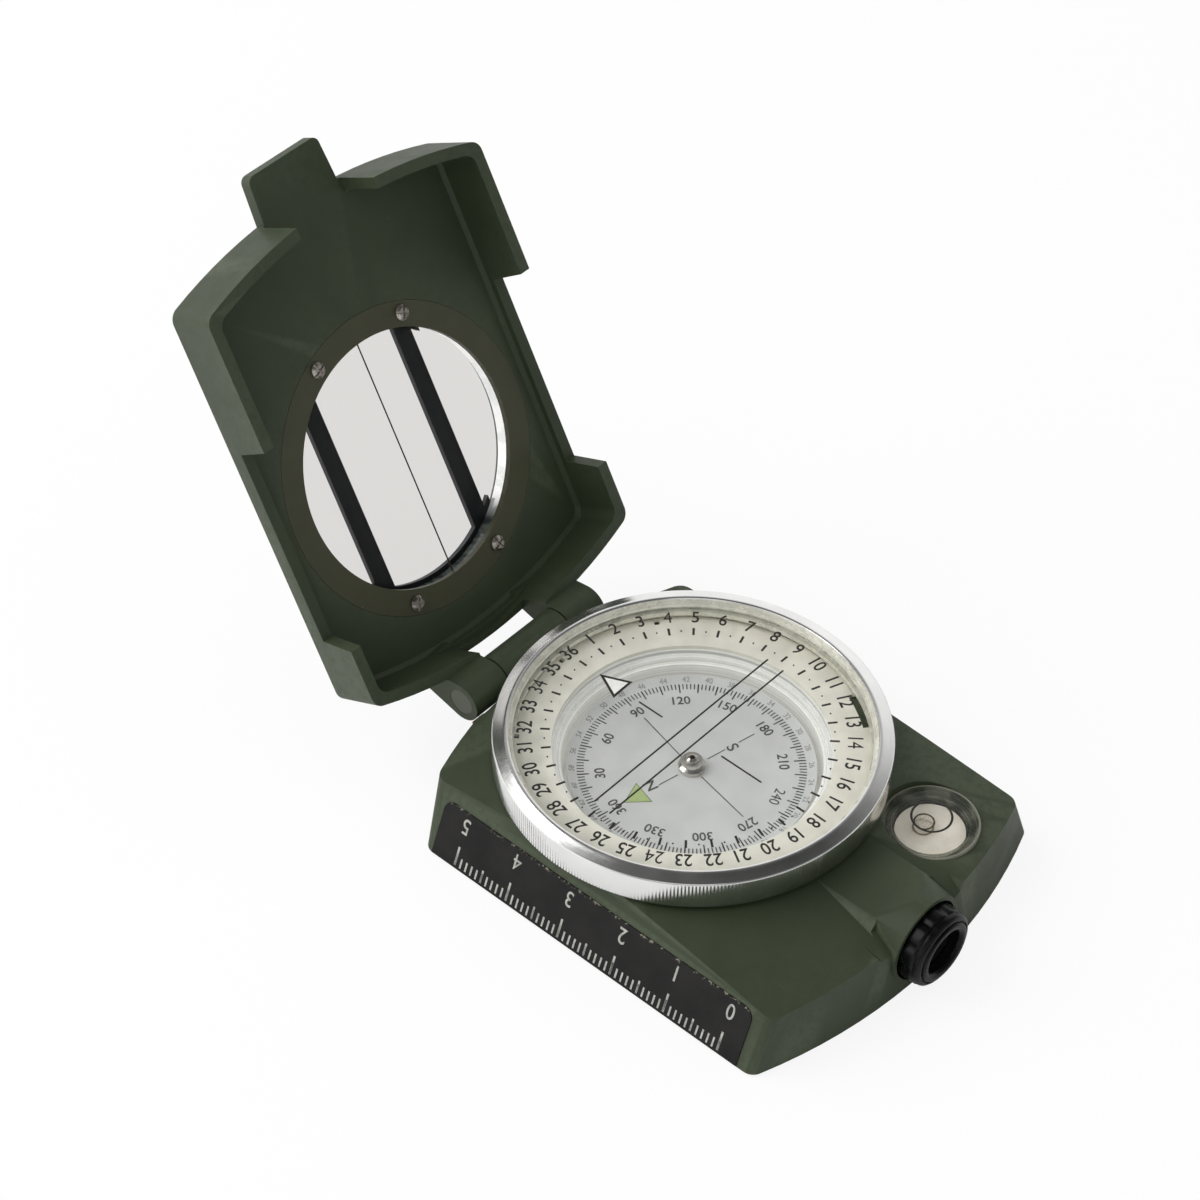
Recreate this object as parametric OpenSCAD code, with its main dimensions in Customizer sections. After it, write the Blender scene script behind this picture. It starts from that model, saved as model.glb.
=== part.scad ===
// Folding military compass: cast casing with a rotating bezel, a turning dial
// card, a bull's-eye level, a focusing eyepiece and a hinged cover with a window.
// Millimetres. The origin lies on the dial's axis in the plane of the underside,
// +Y runs from the eyepiece towards the hinge and +Z is up.

/* [Casing] */
// Half width of the casing at its underside
case_half_w = 31.3; // [30.5:0.1:34]
// Sideways lean of the casing's long sides, mm inwards per mm of height
side_lean = 0.393; // [0.3:0.01:0.42]
// Distance from the dial's axis to the eyepiece end of the casing
eye_reach = 44.2; // [43.5:0.1:47]
// Distance from the dial's axis to the hinge end of the casing
hinge_reach = 29.9; // [29.7:0.1:30.2]
// Radius of the bowed eyepiece end
eye_bow_r = 85; // [75:1:110]
// Radius of the bowed hinge end
hinge_bow_r = 82; // [75:1:110]
// Lean of the eyepiece end, mm inwards per mm of height
eye_lean = 0.12; // [0.05:0.01:0.16]
// Radius of the casing's upright corners
corner_r = 2; // [1:0.1:3]
// Bevel along the bottom edge
foot_bevel = 0.4; // [0.2:0.1:0.8]
// Fall of the top face away from the bezel, mm per mm of radius
top_fall = 0.15; // [0.12:0.01:0.2]
// Radius of the collar under the bezel
collar_r = 28.2; // [27.8:0.1:28.6]
// Height of the top face where it meets the collar
top_z = 12.3; // [12:0.1:12.5]
// Height of the collar's face
collar_z = 12.8; // [12.7:0.05:12.9]
// Set-back of the collar's side from its nominal radius
collar_step = 0.6; // [0.4:0.1:1]
// Depth of the collar's upper step below the top face
collar_depth = 1; // [0.5:0.1:1.5]
// Thickness of the bottom plate
plate_t = 1.2; // [0.8:0.1:1.5]
// Width of the casing's rim around the bottom plate
plate_rim = 3; // [2.5:0.1:4]
// Distance of the plate's screws from the casing's side
plate_screw_side = 7.3; // [6.3:0.1:9.3]
// Distance of the hinge-side plate screws from the dial's axis
plate_screw_hinge_y = 18; // [17:0.5:20]
// Distance of the eyepiece-side plate screws from the dial's axis
plate_screw_eye_y = 32; // [31:0.5:33]
// Radius of the plate screws' threads
plate_screw_r = 0.9; // [0.7:0.1:1.1]
// Length of the plate screws
plate_screw_l = 4; // [3:0.5:5]
// Depth of the plate screws' crossed slots, and their width
plate_slot_d = 0.45; // [0.3:0.05:0.6]
plate_slot_w = 0.35; // [0.2:0.05:0.5]

/* [Prism housing] */
// Half width of the housing's top face
hump_half_w = 5.6; // [5:0.1:6.2]
// Height of the housing's top face
hump_z = 12.3; // [12:0.1:12.6]
// Distance from the dial's axis to the front edge of its top face
hump_reach = 38.7; // [38:0.1:39.5]
// Width of the sloping flanks beside it
hump_flank = 2.6; // [1.5:0.1:3.5]
// Height of those flanks
hump_flank_h = 3; // [2:0.1:4]
// Reach of the flanks' feet beyond the top's front edge
hump_foot_l = 3.5; // [2:0.1:4.5]
// Length of each short side of the prism
prism_leg = 6; // [5:0.1:6.5]
// Half length of the prism along X
prism_half_l = 3.2; // [2.5:0.1:3.5]
// Height of the prism's floor
prism_z = 3.6; // [3.2:0.1:4]
// Air before and behind the prism in its chamber
prism_gap = 0.5; // [0.3:0.1:1]
// Air over the prism
prism_air = 0.4; // [0.3:0.1:0.8]
// Height of the sight slot from the prism to the dial
prism_slot_h = 2.8; // [1.5:0.1:3]
// Height of the cradle's cheeks above the prism's floor
cheek_h = 3; // [1:0.1:4]
// Wall of the prism's cradle
cradle_t = 0.9; // [0.6:0.1:1.2]
// Reach of the roof over the knob, beyond the front edge of the housing's top
roof_l = 4.9; // [4.4:0.1:5.2]
// Wall of the roof around the knob's recess
roof_wall = 0.7; // [0.6:0.05:0.9]
// Length of the roof's round front
roof_ring_l = 2.2; // [2:0.1:2.3]
// Start of the finger flats beside the roof, beyond the housing's front edge
flat_set = 0.3; // [0:0.1:0.8]
// Height at which the finger flats start
flat_z = 10.8; // [10.5:0.1:10.9]
// Fall of the finger flats, mm per mm
flat_fall = 0.5; // [0.4:0.02:0.6]
// Outer edge of the finger flats where they start
flat_half_w = 9.4; // [9:0.1:10]
// Narrowing of the flats' floor towards the front
flat_taper = 1.2; // [0.5:0.1:1.5]
// Flare of the flats' outer walls
flat_flare = 1.8; // [1:0.1:2.4]

/* [Ruler] */
// Length of the ruler plate
ruler_l = 58; // [55:0.5:60]
// Distance from the dial's axis to the ruler plate's eyepiece end
ruler_reach = 35.5; // [34:0.1:36.5]
// Width of the ruler plate up the slope
ruler_w = 9.4; // [8.5:0.1:9.6]
// Gap from the casing's bottom edge to the plate, up the slope
ruler_foot = 0.5; // [0.4:0.1:0.8]
// Thickness of the ruler plate
ruler_t = 0.4; // [0.3:0.05:0.6]
// Depth of the ruler plate's seat in the casing
ruler_seat = 0.3; // [0.2:0.05:0.35]
// Corner radius of the ruler plate
ruler_corner_r = 1.8; // [1:0.1:2.2]

/* [Dial chamber] */
// Outer radius of the dial bowl
bowl_r = 24; // [23.6:0.1:24.3]
// Height of the bowl's underside
bowl_z = 3; // [2.6:0.1:3.4]
// Thickness of the bowl's floor
bowl_floor = 3; // [2:0.1:3.4]
// Height of the bowl's rim
bowl_rim_z = 13.9; // [13.7:0.1:14.1]
// Radius of the bowl's mouth, which is also the glass seat
mouth_r = 20.4; // [20.2:0.1:20.6]
// Height of the ledge that carries the dial glass
ledge_z = 12.9; // [12.8:0.1:13.1]
// Radius inside the ledge
ledge_r = 19.7; // [19.5:0.1:19.9]
// Radius of the chamber around the card
chamber_r = 19; // [18.8:0.1:19.3]
// Height of the step between ledge and chamber
chamber_z = 12; // [11.8:0.1:12.2]
// Thickness of the dial glass
dial_glass_t = 0.8; // [0.5:0.1:0.9]
// Outer radius of the luminous ring
lume_r = 26.1; // [25.6:0.1:26.2]
// Thickness of the luminous ring
lume_t = 0.7; // [0.5:0.1:0.9]
// Bearing of the luminous ring's wide notch, degrees from +X
lume_wide_a = -31; // [-60:1:0]
// Half angle between that notch's outer cuts, degrees
lume_notch_a = 5; // [2:0.5:5]
// Width of each of its three cuts
lume_wide_w = 2.4; // [2:0.1:3]
// Width of the narrow notches
lume_narrow_w = 0.8; // [0.4:0.1:1.5]
// Bearings of the narrow notches, degrees from +X
lume_narrow_a = [53, 90, 128];
// Depth of the notches in the luminous ring
lume_notch = 1; // [0.5:0.1:1.5]

/* [Dial] */
// Radius of the dial card
card_r = 18.2; // [17.5:0.1:18.4]
// Radius of the card's flat part, inside its raised rim
card_flat_r = 16.8; // [16:0.1:17.2]
// Height of the card's top face
card_z = 10.2; // [10:0.1:10.4]
// Thickness of the card
card_t = 0.4; // [0.3:0.05:0.6]
// Rise of the card's rim
card_rise = 0.45; // [0.2:0.05:0.7]
// Length of the needle magnet under the card
magnet_l = 28; // [20:1:30]
// Width of the magnet
magnet_w = 5; // [4:0.5:6]
// Thickness of the magnet
magnet_t = 1.2; // [1:0.1:1.5]
// Bearing of the card's north mark at rest, degrees from +X
north_a = 168; // [160:1:180]
// Radius of the hub's body
hub_r = 1.55; // [1.4:0.05:1.7]
// Radius of the hub's flange on the card
hub_flange_r = 2; // [1.9:0.05:2.3]
// Height of the hub's top
hub_z = 11.9; // [11.6:0.1:12]
// Thickness of the hub's flange
hub_flange_t = 0.7; // [0.4:0.1:0.8]
// Height of the flange's cone over the flange
hub_cone_h = 0.4; // [0.2:0.1:0.5]
// Depth of the jewel's seat in the hub
jewel_seat = 0.7; // [0.6:0.1:0.8]
// Depth of the cup in the jewel's underside
jewel_cup = 0.2; // [0.1:0.05:0.3]
// Height of the jewel over the hub
jewel_h = 0.6; // [0.5:0.1:0.8]
// Radius of the jewel
jewel_r = 1; // [0.9:0.05:1.1]
// Radius of the pivot pin
pivot_r = 0.45; // [0.35:0.05:0.5]
// Length of the pin's point
pivot_point_l = 1; // [0.6:0.1:1.2]

/* [Bezel] */
// Outer radius of the bezel
bezel_r = 29; // [28.8:0.1:29.2]
// Height of the bezel's lower edge
bezel_z = 12.9; // [12.85:0.05:12.95]
// Height of the knurled side above that edge
knurl_h = 4.9; // [4.6:0.1:4.9]
// Depth of the knurl's grooves
knurl_depth = 0.22; // [0.1:0.02:0.3]
// Number of grooves in the knurl
knurl_count = 120; // [60:6:144]
// Height of the bezel's bright lip
bezel_top_z = 18.3; // [18.1:0.1:18.4]
// Outer radius of the lip's crest
lip_r = 27.1; // [26.9:0.1:27.4]
// Radius inside the lip, at the glass
lip_in_r = 25.5; // [25.2:0.1:25.8]
// Width of the lip's flat crest
lip_crest_w = 0.4; // [0.2:0.1:0.8]
// Rise of the lip over the glass
lip_rise = 1.2; // [0.8:0.1:1.4]
// Radius of the bore that turns on the casing
bezel_bore_r = 26.5; // [26.4:0.05:26.6]
// Thickness of the bezel glass
bezel_glass_t = 0.8; // [0.6:0.1:1]
// Thickness of the ring that holds the glass
retainer_t = 0.7; // [0.5:0.1:0.9]
// Radial width of that ring
retainer_w = 0.7; // [0.5:0.1:0.8]
// Depth of the groove in the bezel for the snap ring
snap_groove = 0.45; // [0.4:0.05:0.5]
// Air on each side of the snap ring in its grooves
snap_air = 0.1; // [0.05:0.05:0.15]
// Width of the split in the snap ring
snap_split = 2; // [1:0.5:4]
// Wire radius of the bezel's snap ring
snap_wire_r = 0.3; // [0.25:0.01:0.32]

/* [Level] */
// Distance of the level's axis from the casing's side at the underside
level_side = 16.4; // [16.1:0.1:16.7]
// Place of the level towards the eyepiece end
level_y = 32.4; // [32.1:0.1:32.7]
// Outer radius of the level
level_r = 7.15; // [6.9:0.05:7.3]
// Height of the level's rim
level_z = 10.8; // [10.6:0.1:11]
// Height of the level's underside
level_foot_z = 5; // [4.6:0.1:5.6]
// Radius of the pale disc
level_disc_r = 5.15; // [4.8:0.05:5.3]
// Height of the pale disc's face
level_disc_z = 8.9; // [8.6:0.1:9.2]
// Thickness of the pale disc
level_disc_t = 0.8; // [0.5:0.1:1]
// Width of the cup's rim around the glass
level_rim_w = 0.5; // [0.4:0.1:0.8]
// Room around the pale disc in the cup
level_disc_gap = 0.15; // [0.05:0.05:0.3]
// Rise of the level's domed glass
level_dome = 0.9; // [0.5:0.1:1]
// Thickness of the domed glass at its edge
level_glass_t = 0.9; // [0.6:0.1:1.1]

/* [Eyepiece] */
// Height of the eyepiece's axis
eye_z = 6.8; // [6.8:0.05:6.9]
// Radius of the knob
knob_r = 6.1; // [5.8:0.1:6.1]
// Distance from the front edge of the housing's top to the knob's front face
knob_stand = 8.6; // [8.6:0.1:10]
// Length of the knob
knob_l = 5.6; // [5:0.1:5.8]
// Radius of the sight hole in the knob
sight_r = 3.5; // [3:0.1:3.6]
// Radius of the recess that the knob turns in
recess_r = 6.4; // [6.35:0.05:6.45]
// Set-back of the recess's rear wall from the housing's front edge
recess_set = 2.6; // [2.5:0.1:2.8]
// Wall between the recess and the prism's chamber
chamber_wall = 6; // [5.6:0.1:6]
// Bevel around the knob's face
knob_bevel = 0.9; // [0.4:0.1:1]
// Bevel around the sight hole
sight_bevel = 0.6; // [0.3:0.1:0.8]
// Length of the knob's front part without notches
knob_plain_l = 1.2; // [0.9:0.1:2]
// Set-back of the tube's front from the knob's face
tube_set = 2.2; // [2:0.1:2.4]
// Outer radius of the eyepiece tube
tube_r = 4.3; // [4:0.1:4.5]
// Wall of the eyepiece tube
tube_wall = 0.7; // [0.5:0.05:0.8]
// Number of grip notches around the knob
knob_notches = 12; // [6:1:16]
// Radius of the grip notches
knob_notch_r = 0.5; // [0.3:0.05:0.6]
// Radius of the eyepiece lens
lens_r = 2.8; // [2.4:0.1:2.9]
// Thickness of the eyepiece lens
lens_t = 1.6; // [1.2:0.1:1.8]
// Radius of the lens's front face
lens_dome_r = 6; // [5:0.5:9]
// Depth of the lens's seat in its cell
lens_seat = 2; // [1.8:0.1:2.4]
// Width of the shoulder behind the lens
lens_shoulder = 0.5; // [0.3:0.1:0.8]
// Length of the lens cell
cell_l = 5.2; // [4:0.1:5.6]
// Travel of the lens cell each way
focus_travel = 0.6; // [0.4:0.1:0.6]

/* [Hinge] */
// Distance from the dial's axis to the hinge axis
hinge_y = 32.6; // [32.4:0.1:32.8]
// Height of the hinge axis
hinge_z = 11.5; // [11.4:0.1:11.7]
// Radius of the hinge's barrels
barrel_r = 3.2; // [3:0.05:3.3]
// Half length of the middle barrel with its side gaps
barrel_half_l = 7; // [6.5:0.1:7.5]
// Outer half length of the cover's lugs
lug_half_l = 14.1; // [13.5:0.1:14.5]
// Radius of the hinge pin
pin_r = 1.5; // [1.3:0.05:1.6]
// Radius of the pin's head, flush in the lug
pin_head_r = 2.1; // [2:0.05:2.3]
// Depth of the pin's head
pin_head_l = 1; // [0.8:0.1:1.2]
// Opening of the cover as shown, degrees from closed
open_a = 118.9; // [0:0.1:180]
// Rise of the hinge web's top over the hinge axis
web_rise = 0.4; // [0:0.1:0.6]
// Thickness of the web at the barrel
web_t = 2.6; // [2:0.1:3]
// Thickness of the web's root in the casing
web_root_t = 5.5; // [4:0.1:6]
// Length of the web's root inside the casing
web_root_l = 3; // [2.5:0.1:3.5]
// Height of the relief behind each lug, above and below the hinge axis
relief_up = 3.4; // [3:0.1:4]
relief_down = 0.6; // [0.5:0.1:1]
// Height of the lug arms' root on the cover's heel wall
arm_h = 4; // [3.5:0.1:4.2]
// Thickness of the lug arms' root
arm_t = 1.2; // [1:0.1:1.4]
// Depth of that root inside the heel's outline
arm_set = 2.6; // [2.4:0.1:2.8]
// Thickness of the friction leaves under the lugs
leaf_t = 0.3; // [0.2:0.05:0.4]
// Width of the friction leaves
leaf_w = 2.4; // [1.5:0.1:2.6]
// Length of the friction leaves
leaf_l = 3.4; // [3:0.1:3.6]
// Rise of the leaves over the bottom of the lugs
leaf_lift = 0.1; // [0:0.05:0.15]
// Depth of the leaves' roots in the casing
leaf_root = 2.6; // [2:0.1:2.8]
// Distance of the leaves' middle from the lugs' outer ends
leaf_set = 1.5; // [1.3:0.1:3]

/* [Cover] */
// Half width of the cover at its rim
cover_half_w = 27.4; // [27.3:0.1:27.6]
// Narrowing of the cover towards its back, mm per mm
cover_lean = 0.058; // [0.03:0.002:0.08]
// Distance from the dial's axis to the cover's tip, closed
tip_reach = 42.6; // [42:0.1:43]
// Distance from the dial's axis to the cover's hinge end, closed
heel_reach = 30; // [29.9:0.1:30.3]
// Height of the cover's rim, closed
rim_z = 12.4; // [12.3:0.05:12.6]
// Height of the cover's inner face, closed
inner_z = 20.4; // [20.2:0.1:20.8]
// Thickness of the cover's plate
cover_t = 2.2; // [1.8:0.1:2.5]
// Thickness of the cover's walls
wall_t = 1.8; // [1.5:0.1:2]
// Bevel between the walls and the plate inside
fillet = 0.6; // [0.3:0.1:0.9]
// Bevel around the cover's back
back_bevel = 0.8; // [0.4:0.1:1.2]
// Side notch, its end towards the tip
notch_tip = 16.6; // [16.2:0.1:17]
// Side notch, its end towards the hinge
notch_heel = 15.3; // [15.2:0.1:16]
// Height of the wall left over the side notches
notch_sill = 1.5; // [1:0.1:2]
// Half width of the gap in the tip wall
tip_gap = 7.7; // [7.2:0.1:8.2]
// Height of the low wall left between the lugs
heel_sill = 2.7; // [2:0.1:2.8]
// Half width of the thumb tab at its root
tab_half_w = 7.4; // [6.8:0.1:7.6]
// Narrowing of the tab towards its end, each side
tab_taper = 0.5; // [0:0.1:1]
// Corner radius of the tab
tab_r = 1.2; // [0.5:0.1:2]
// Set-back of the tab's faces from the plate's back
tab_set = 0.2; // [0.1:0.1:0.6]
// Spread of the side notches' ends towards the rim
notch_spread = 0.6; // [0.2:0.1:0.8]
// Narrowing of the side notches at their floor
notch_taper = 0.4; // [0.2:0.1:0.8]
// Depth of the tip gap inside the wall
tip_gap_in = 1.2; // [0.8:0.1:1.5]
// Depth of the heel gap inside the wall
heel_gap_in = 1.4; // [1.2:0.1:1.5]
// Distance from the dial's axis to the tab's end, closed
tab_reach = 49.5; // [48.5:0.1:51]

/* [Window] */
// Radius of the window's clear opening
window_r = 19.4; // [19:0.1:19.6]
// Outer radius of the ring that holds the glass
ring_r = 23.3; // [23:0.1:23.5]
// Thickness of that ring
ring_t = 1; // [0.8:0.1:1.2]
// Radius of the window glass
glass_r = 20.1; // [19.9:0.1:20.2]
// Thickness of the window glass
glass_t = 2.6; // [2:0.1:3]
// Radius of the opening behind the glass
back_r = 19.2; // [18:0.1:19.4]
// Ledge under the glass's edge in the wider openings beyond the bars
side_ledge = 0.1; // [0.1:0.05:0.6]
// Flare of those wider openings towards the boss's face
side_flare = 1; // [0:0.1:1.2]
// Distance from each bar to its wider opening
side_step = 1.4; // [1:0.1:2]
// Thickness of the two bars behind the glass
bar_t = 1; // [0.8:0.1:1.4]
// Width of each bar
bar_w = 3; // [2.5:0.1:3.5]
// Distance of each bar from the middle line
bar_x = 10.15; // [9:0.05:11]
// Foot radius of the raised boss around the window
boss_r = 25.6; // [25:0.1:26]
// Radius of the boss's face
boss_face_r = 23; // [22.5:0.1:23.5]
// Pitch radius of the window screws
screw_pitch_r = 21.5; // [21.3:0.05:21.7]
// Angle of the window screws from the middle line, degrees
screw_a = 23.8; // [20:0.1:30]
// Thread radius of the window screws
screw_r = 0.55; // [0.4:0.05:0.6]
// Head radius of the window screws
screw_head_r = 1.2; // [1:0.05:1.3]
// Head height of the window screws
screw_head_h = 0.7; // [0.5:0.05:0.9]
// Length of the window screws under the head
screw_l = 2.4; // [2:0.1:2.6]
// Depth and width of the window screws' crossed slots
window_slot_d = 0.35; // [0.2:0.05:0.4]
window_slot_w = 0.3; // [0.2:0.05:0.4]
// Share of the head's radius left at its top
screw_crown = 0.65; // [0.5:0.05:0.9]
// Radius of the sighting line
sight_line_r = 0.11; // [0.08:0.01:0.15]

/* [Fits] */
// Radial gap of a turning or sliding fit
run_gap = 0.05; // [0.04:0.01:0.08]
// Room around a screw's shank, or past its end
screw_gap = 0.1; // [0.08:0.01:0.15]
// Gap between seated pieces
seat_gap = 0.04; // [0.02:0.01:0.06]
// Gap between pieces that move past each other
swing_gap = 0.3; // [0.25:0.05:0.35]

/* [Hidden] */
$fn = 96;
eps = 0.01;
// Anything that cuts right through reaches this far past the part
past = 1;
olive = [0.22, 0.27, 0.19];
// The height at which the casing's leaning sides stop under the bezel
side_top_z = top_z;
spigot_r = bezel_bore_r - run_gap;
glass_top_z = bezel_top_z - lip_rise;
glass_under_z = glass_top_z - bezel_glass_t;
snap_z = (collar_z + bowl_rim_z) / 2;
recess_y = -hump_reach - recess_set;
chamber_eye_y = recess_y + chamber_wall;
chamber_dial_y = chamber_eye_y + prism_leg + 2 * prism_gap;
bowl_wall = -bowl_r - chamber_dial_y;
knob_reach = hump_reach + knob_stand;
level_x = case_half_w - level_side;
plate_screw_x = case_half_w - plate_screw_side;
cover_back_z = inner_z + cover_t;
boss_z = inner_z + ring_t + glass_t + bar_t;
glass_seat_z = inner_z + ring_t;
knob_back_y = -knob_reach + knob_l;
tube_front_y = -knob_reach + tube_set;
cell_r = tube_r - tube_wall - run_gap;
cell_front_y = tube_front_y + focus_travel + swing_gap;
// Steps along each bowed end and around each upright corner
bow_steps = 18;
corner_steps = 6;
leaf_root_y = hinge_reach - leaf_root;

// Points along an arc, both ends included
function arc(x, y, r, a0, a1, n) =
    [for (i = [0 : n]) let (a = a0 + (a1 - a0) * i / n) [x + r * cos(a), y + r * sin(a)]];

// A casing outline seen from above: straight sides, bowed ends, round corners
function outline(half_w, eye_y, heel_y, inset = 0) =
    let (r = corner_r,
        x = half_w - inset - r,
        eye_r = eye_bow_r - inset - r,
        heel_r = hinge_bow_r - inset - r,
        eye_c = eye_bow_r - eye_y,
        heel_c = heel_y - hinge_bow_r,
        eye_a = asin(x / eye_r),
        heel_a = asin(x / heel_r),
        y0 = eye_c - eye_r * cos(eye_a),
        y1 = heel_c + heel_r * cos(heel_a),
        heel_s = heel_a * (1 - 2 / bow_steps),
        eye_s = eye_a * (1 - 2 / bow_steps))
    concat(arc(x, y0, r, -90 + eye_a, 0, corner_steps),
        arc(x, y1, r, 0, 90 - heel_a, corner_steps),
        arc(0, heel_c, heel_r + r, 90 - heel_s, 90 + heel_s, bow_steps - 2),
        arc(-x, y1, r, 90 + heel_a, 180, corner_steps),
        arc(-x, y0, r, 180, 270 - eye_a, corner_steps),
        arc(0, eye_c, eye_r + r, 270 - eye_s, 270 + eye_s, bow_steps - 2));

// One level of a lofted block: its height and the outline there
function level(z, half_w, eye_y, heel_y, inset = 0) =
    [for (p = outline(half_w, eye_y, heel_y, inset)) [p[0], p[1], z]];

// A solid through levels of as many points each, from the lowest up
module loft(levels) {
    m = len(levels[0]);
    top = (len(levels) - 1) * m;
    polyhedron(points = [for (ring = levels) each ring],
        faces = concat([[for (i = [0 : m - 1]) i]],
            [[for (i = [m - 1 : -1 : 0]) top + i]],
            [for (k = [0 : m : top - m], i = [0 : m - 1], half = [0, 1])
                let (a = k + i, b = k + (i + 1) % m)
                    half == 0 ? [a, a + m, b + m] : [a, b + m, b]]));
}

// A round bar along X
module bar_x(r, x0, x1) {
    translate([x0, 0, 0])
        rotate([0, 90, 0])
            cylinder(h = x1 - x0, r = r);
}

// A round bar along -Y, from y0 to the nearer y1
module bar_y(r, y0, y1, r_end = 0) {
    translate([0, y0, eye_z])
        rotate([90, 0, 0])
            cylinder(h = y0 - y1, r1 = r, r2 = r_end > 0 ? r_end : r);
}

// Places its child on the leaning ruler side: child X runs towards the eyepiece,
// child Y up the slope and child Z straight out
module on_ruler_side() {
    translate([-case_half_w, 0, 0])
        rotate([0, atan(side_lean), 0])
            rotate([90, 0, -90])
                children();
}

// Turns its children about the hinge from closed to the opening shown
module opened() {
    translate([0, hinge_y, hinge_z])
        rotate([-open_a, 0, 0])
            translate([0, -hinge_y, -hinge_z])
                children();
}

// The four screws' places on the bottom plate
module at_plate_screws() {
    for (side = [-1, 1]) {
        translate([side * plate_screw_x, plate_screw_hinge_y, 0])
            children();
        translate([side * plate_screw_x, -plate_screw_eye_y, 0])
            children();
    }
}

// The casing's leaning block under its domed top
module casing_block() {
    intersection() {
        loft([level(0, case_half_w, eye_reach, hinge_reach, foot_bevel),
            level(foot_bevel, case_half_w - side_lean * foot_bevel, eye_reach, hinge_reach),
            level(side_top_z, case_half_w - side_lean * side_top_z,
                eye_reach - eye_lean * side_top_z, hinge_reach)]);
        cylinder(h = top_z, r1 = collar_r + top_z / top_fall, r2 = collar_r, $fn = 180);
    }
}

// The raised housing over the prism, with its sloping flanks
module prism_housing() {
    foot_half_w = hump_half_w + hump_flank;
    foot_z = hump_z - hump_flank_h;
    back_l = hump_reach - bowl_r - past;
    hull() {
        translate([-hump_half_w, -hump_reach, foot_z])
            cube([2 * hump_half_w, back_l, hump_flank_h]);
        translate([-foot_half_w, -hump_reach - hump_foot_l, foot_z])
            cube([2 * foot_half_w, back_l + hump_foot_l, eps]);
    }
}

// The hinge's middle barrel and the web that joins it to the casing
module middle_barrel() {
    half_l = barrel_half_l - swing_gap / 2;
    translate([0, hinge_y, hinge_z])
        bar_x(barrel_r, -half_l, half_l);
    hull() {
        translate([-half_l, hinge_y - barrel_r + web_rise, hinge_z + web_rise - web_t])
            cube([2 * half_l, eps, web_t]);
        translate([-half_l, hinge_reach - web_root_l, hinge_z - web_root_t])
            cube([2 * half_l, web_root_l - past, web_root_t]);
    }
}

// Cast casing: carries the dial bowl, level, eyepiece, prism and hinge
module base_body() {
    color(olive)
        difference() {
            union() {
                difference() {
                    union() {
                        casing_block();
                        prism_housing();
                    }
                    finger_flats();
                }
                eyepiece_roof();
                cylinder(h = collar_z, r = collar_r - 2 * collar_step);
                translate([0, 0, top_z - collar_depth])
                    cylinder(h = collar_z - top_z + collar_depth, r = collar_r - collar_step);
                cylinder(h = bowl_rim_z, r = spigot_r);
                middle_barrel();
            }
            translate([0, 0, bowl_z])
                cylinder(h = bowl_rim_z, r = bowl_r + seat_gap);
            translate([0, 0, -past])
                linear_extrude(height = plate_t + past)
                    polygon(outline(case_half_w, eye_reach, hinge_reach, plate_rim));
            at_plate_screws()
                translate([0, 0, plate_t - eps])
                    cylinder(h = plate_screw_l - plate_t + 2 * screw_gap,
                        r = plate_screw_r + seat_gap, $fn = 32);
            translate([level_x, -level_y, level_foot_z])
                cylinder(h = past + level_z, r = level_r + seat_gap);
            bar_y(recess_r, recess_y, -knob_reach - past);
            bar_y(tube_r + seat_gap, chamber_eye_y + eps, recess_y - eps);
            prism_chamber();
            on_ruler_side()
                translate([0, 0, -ruler_seat])
                    linear_extrude(height = past)
                        ruler_outline(seat_gap);
            lug_reliefs();
            leaf_places(seat_gap);
            translate([0, hinge_y, hinge_z])
                bar_x(pin_r + run_gap, -lug_half_l, lug_half_l);
            rotate_extrude($fn = 120)
                translate([spigot_r, snap_z])
                    square([4 * snap_wire_r, 2 * (snap_wire_r + snap_air)], center = true);
        }
}

// The pocket for the prism, open at the bottom, with its slot to the dial bowl
module prism_chamber() {
    half_w = prism_half_l + cradle_t + seat_gap;
    roof_z = prism_z + prism_leg + prism_air;
    translate([-half_w, chamber_eye_y, -past])
        cube([2 * half_w, chamber_dial_y - chamber_eye_y, roof_z + past]);
    translate([-prism_half_l, chamber_dial_y - eps, roof_z - prism_slot_h])
        cube([2 * prism_half_l, bowl_wall + past, prism_slot_h]);
}

// Roof that carries the housing's top forward around the knob's recess
module eyepiece_roof() {
    ring_r = recess_r + roof_wall;
    front_y = -hump_reach - roof_l;
    hull() {
        translate([-hump_half_w, -hump_reach, hump_z - hump_flank_h])
            cube([2 * hump_half_w, past, hump_flank_h]);
        intersection() {
            bar_y(ring_r, front_y + roof_ring_l, front_y);
            translate([-ring_r, front_y, foot_bevel])
                cube([2 * ring_r, roof_ring_l, 2 * ring_r]);
        }
    }
}

// Sloping flats for the fingers on both sides of the roof
module finger_flats() {
    start_y = -hump_reach - flat_set;
    run = roof_l + 2 * past;
    floor_z = flat_z - flat_fall * run;
    for (side = [0, 1])
        mirror([side, 0, 0])
            hull() {
                translate([0, start_y, flat_z])
                    cube([flat_half_w, eps, past]);
                translate([0, start_y, flat_z + past])
                    cube([flat_half_w + flat_flare * past / 2, eps, past]);
                translate([0, start_y - run, floor_z])
                    cube([flat_half_w - flat_taper, eps, past]);
                translate([0, start_y - run, flat_z + past])
                    cube([flat_half_w + flat_flare, eps, past]);
            }
}

// Room in the casing for the cover's two lugs
module lug_reliefs() {
    for (side = [-1, 1])
        translate([0, hinge_y, hinge_z])
            mirror([side < 0 ? 1 : 0, 0, 0]) {
                bar_x(barrel_r + swing_gap, barrel_half_l, lug_half_l + swing_gap);
                translate([barrel_half_l, -barrel_r - past, -relief_down])
                    cube([lug_half_l + swing_gap - barrel_half_l, 2 * past,
                        relief_up + relief_down]);
            }
}

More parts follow.
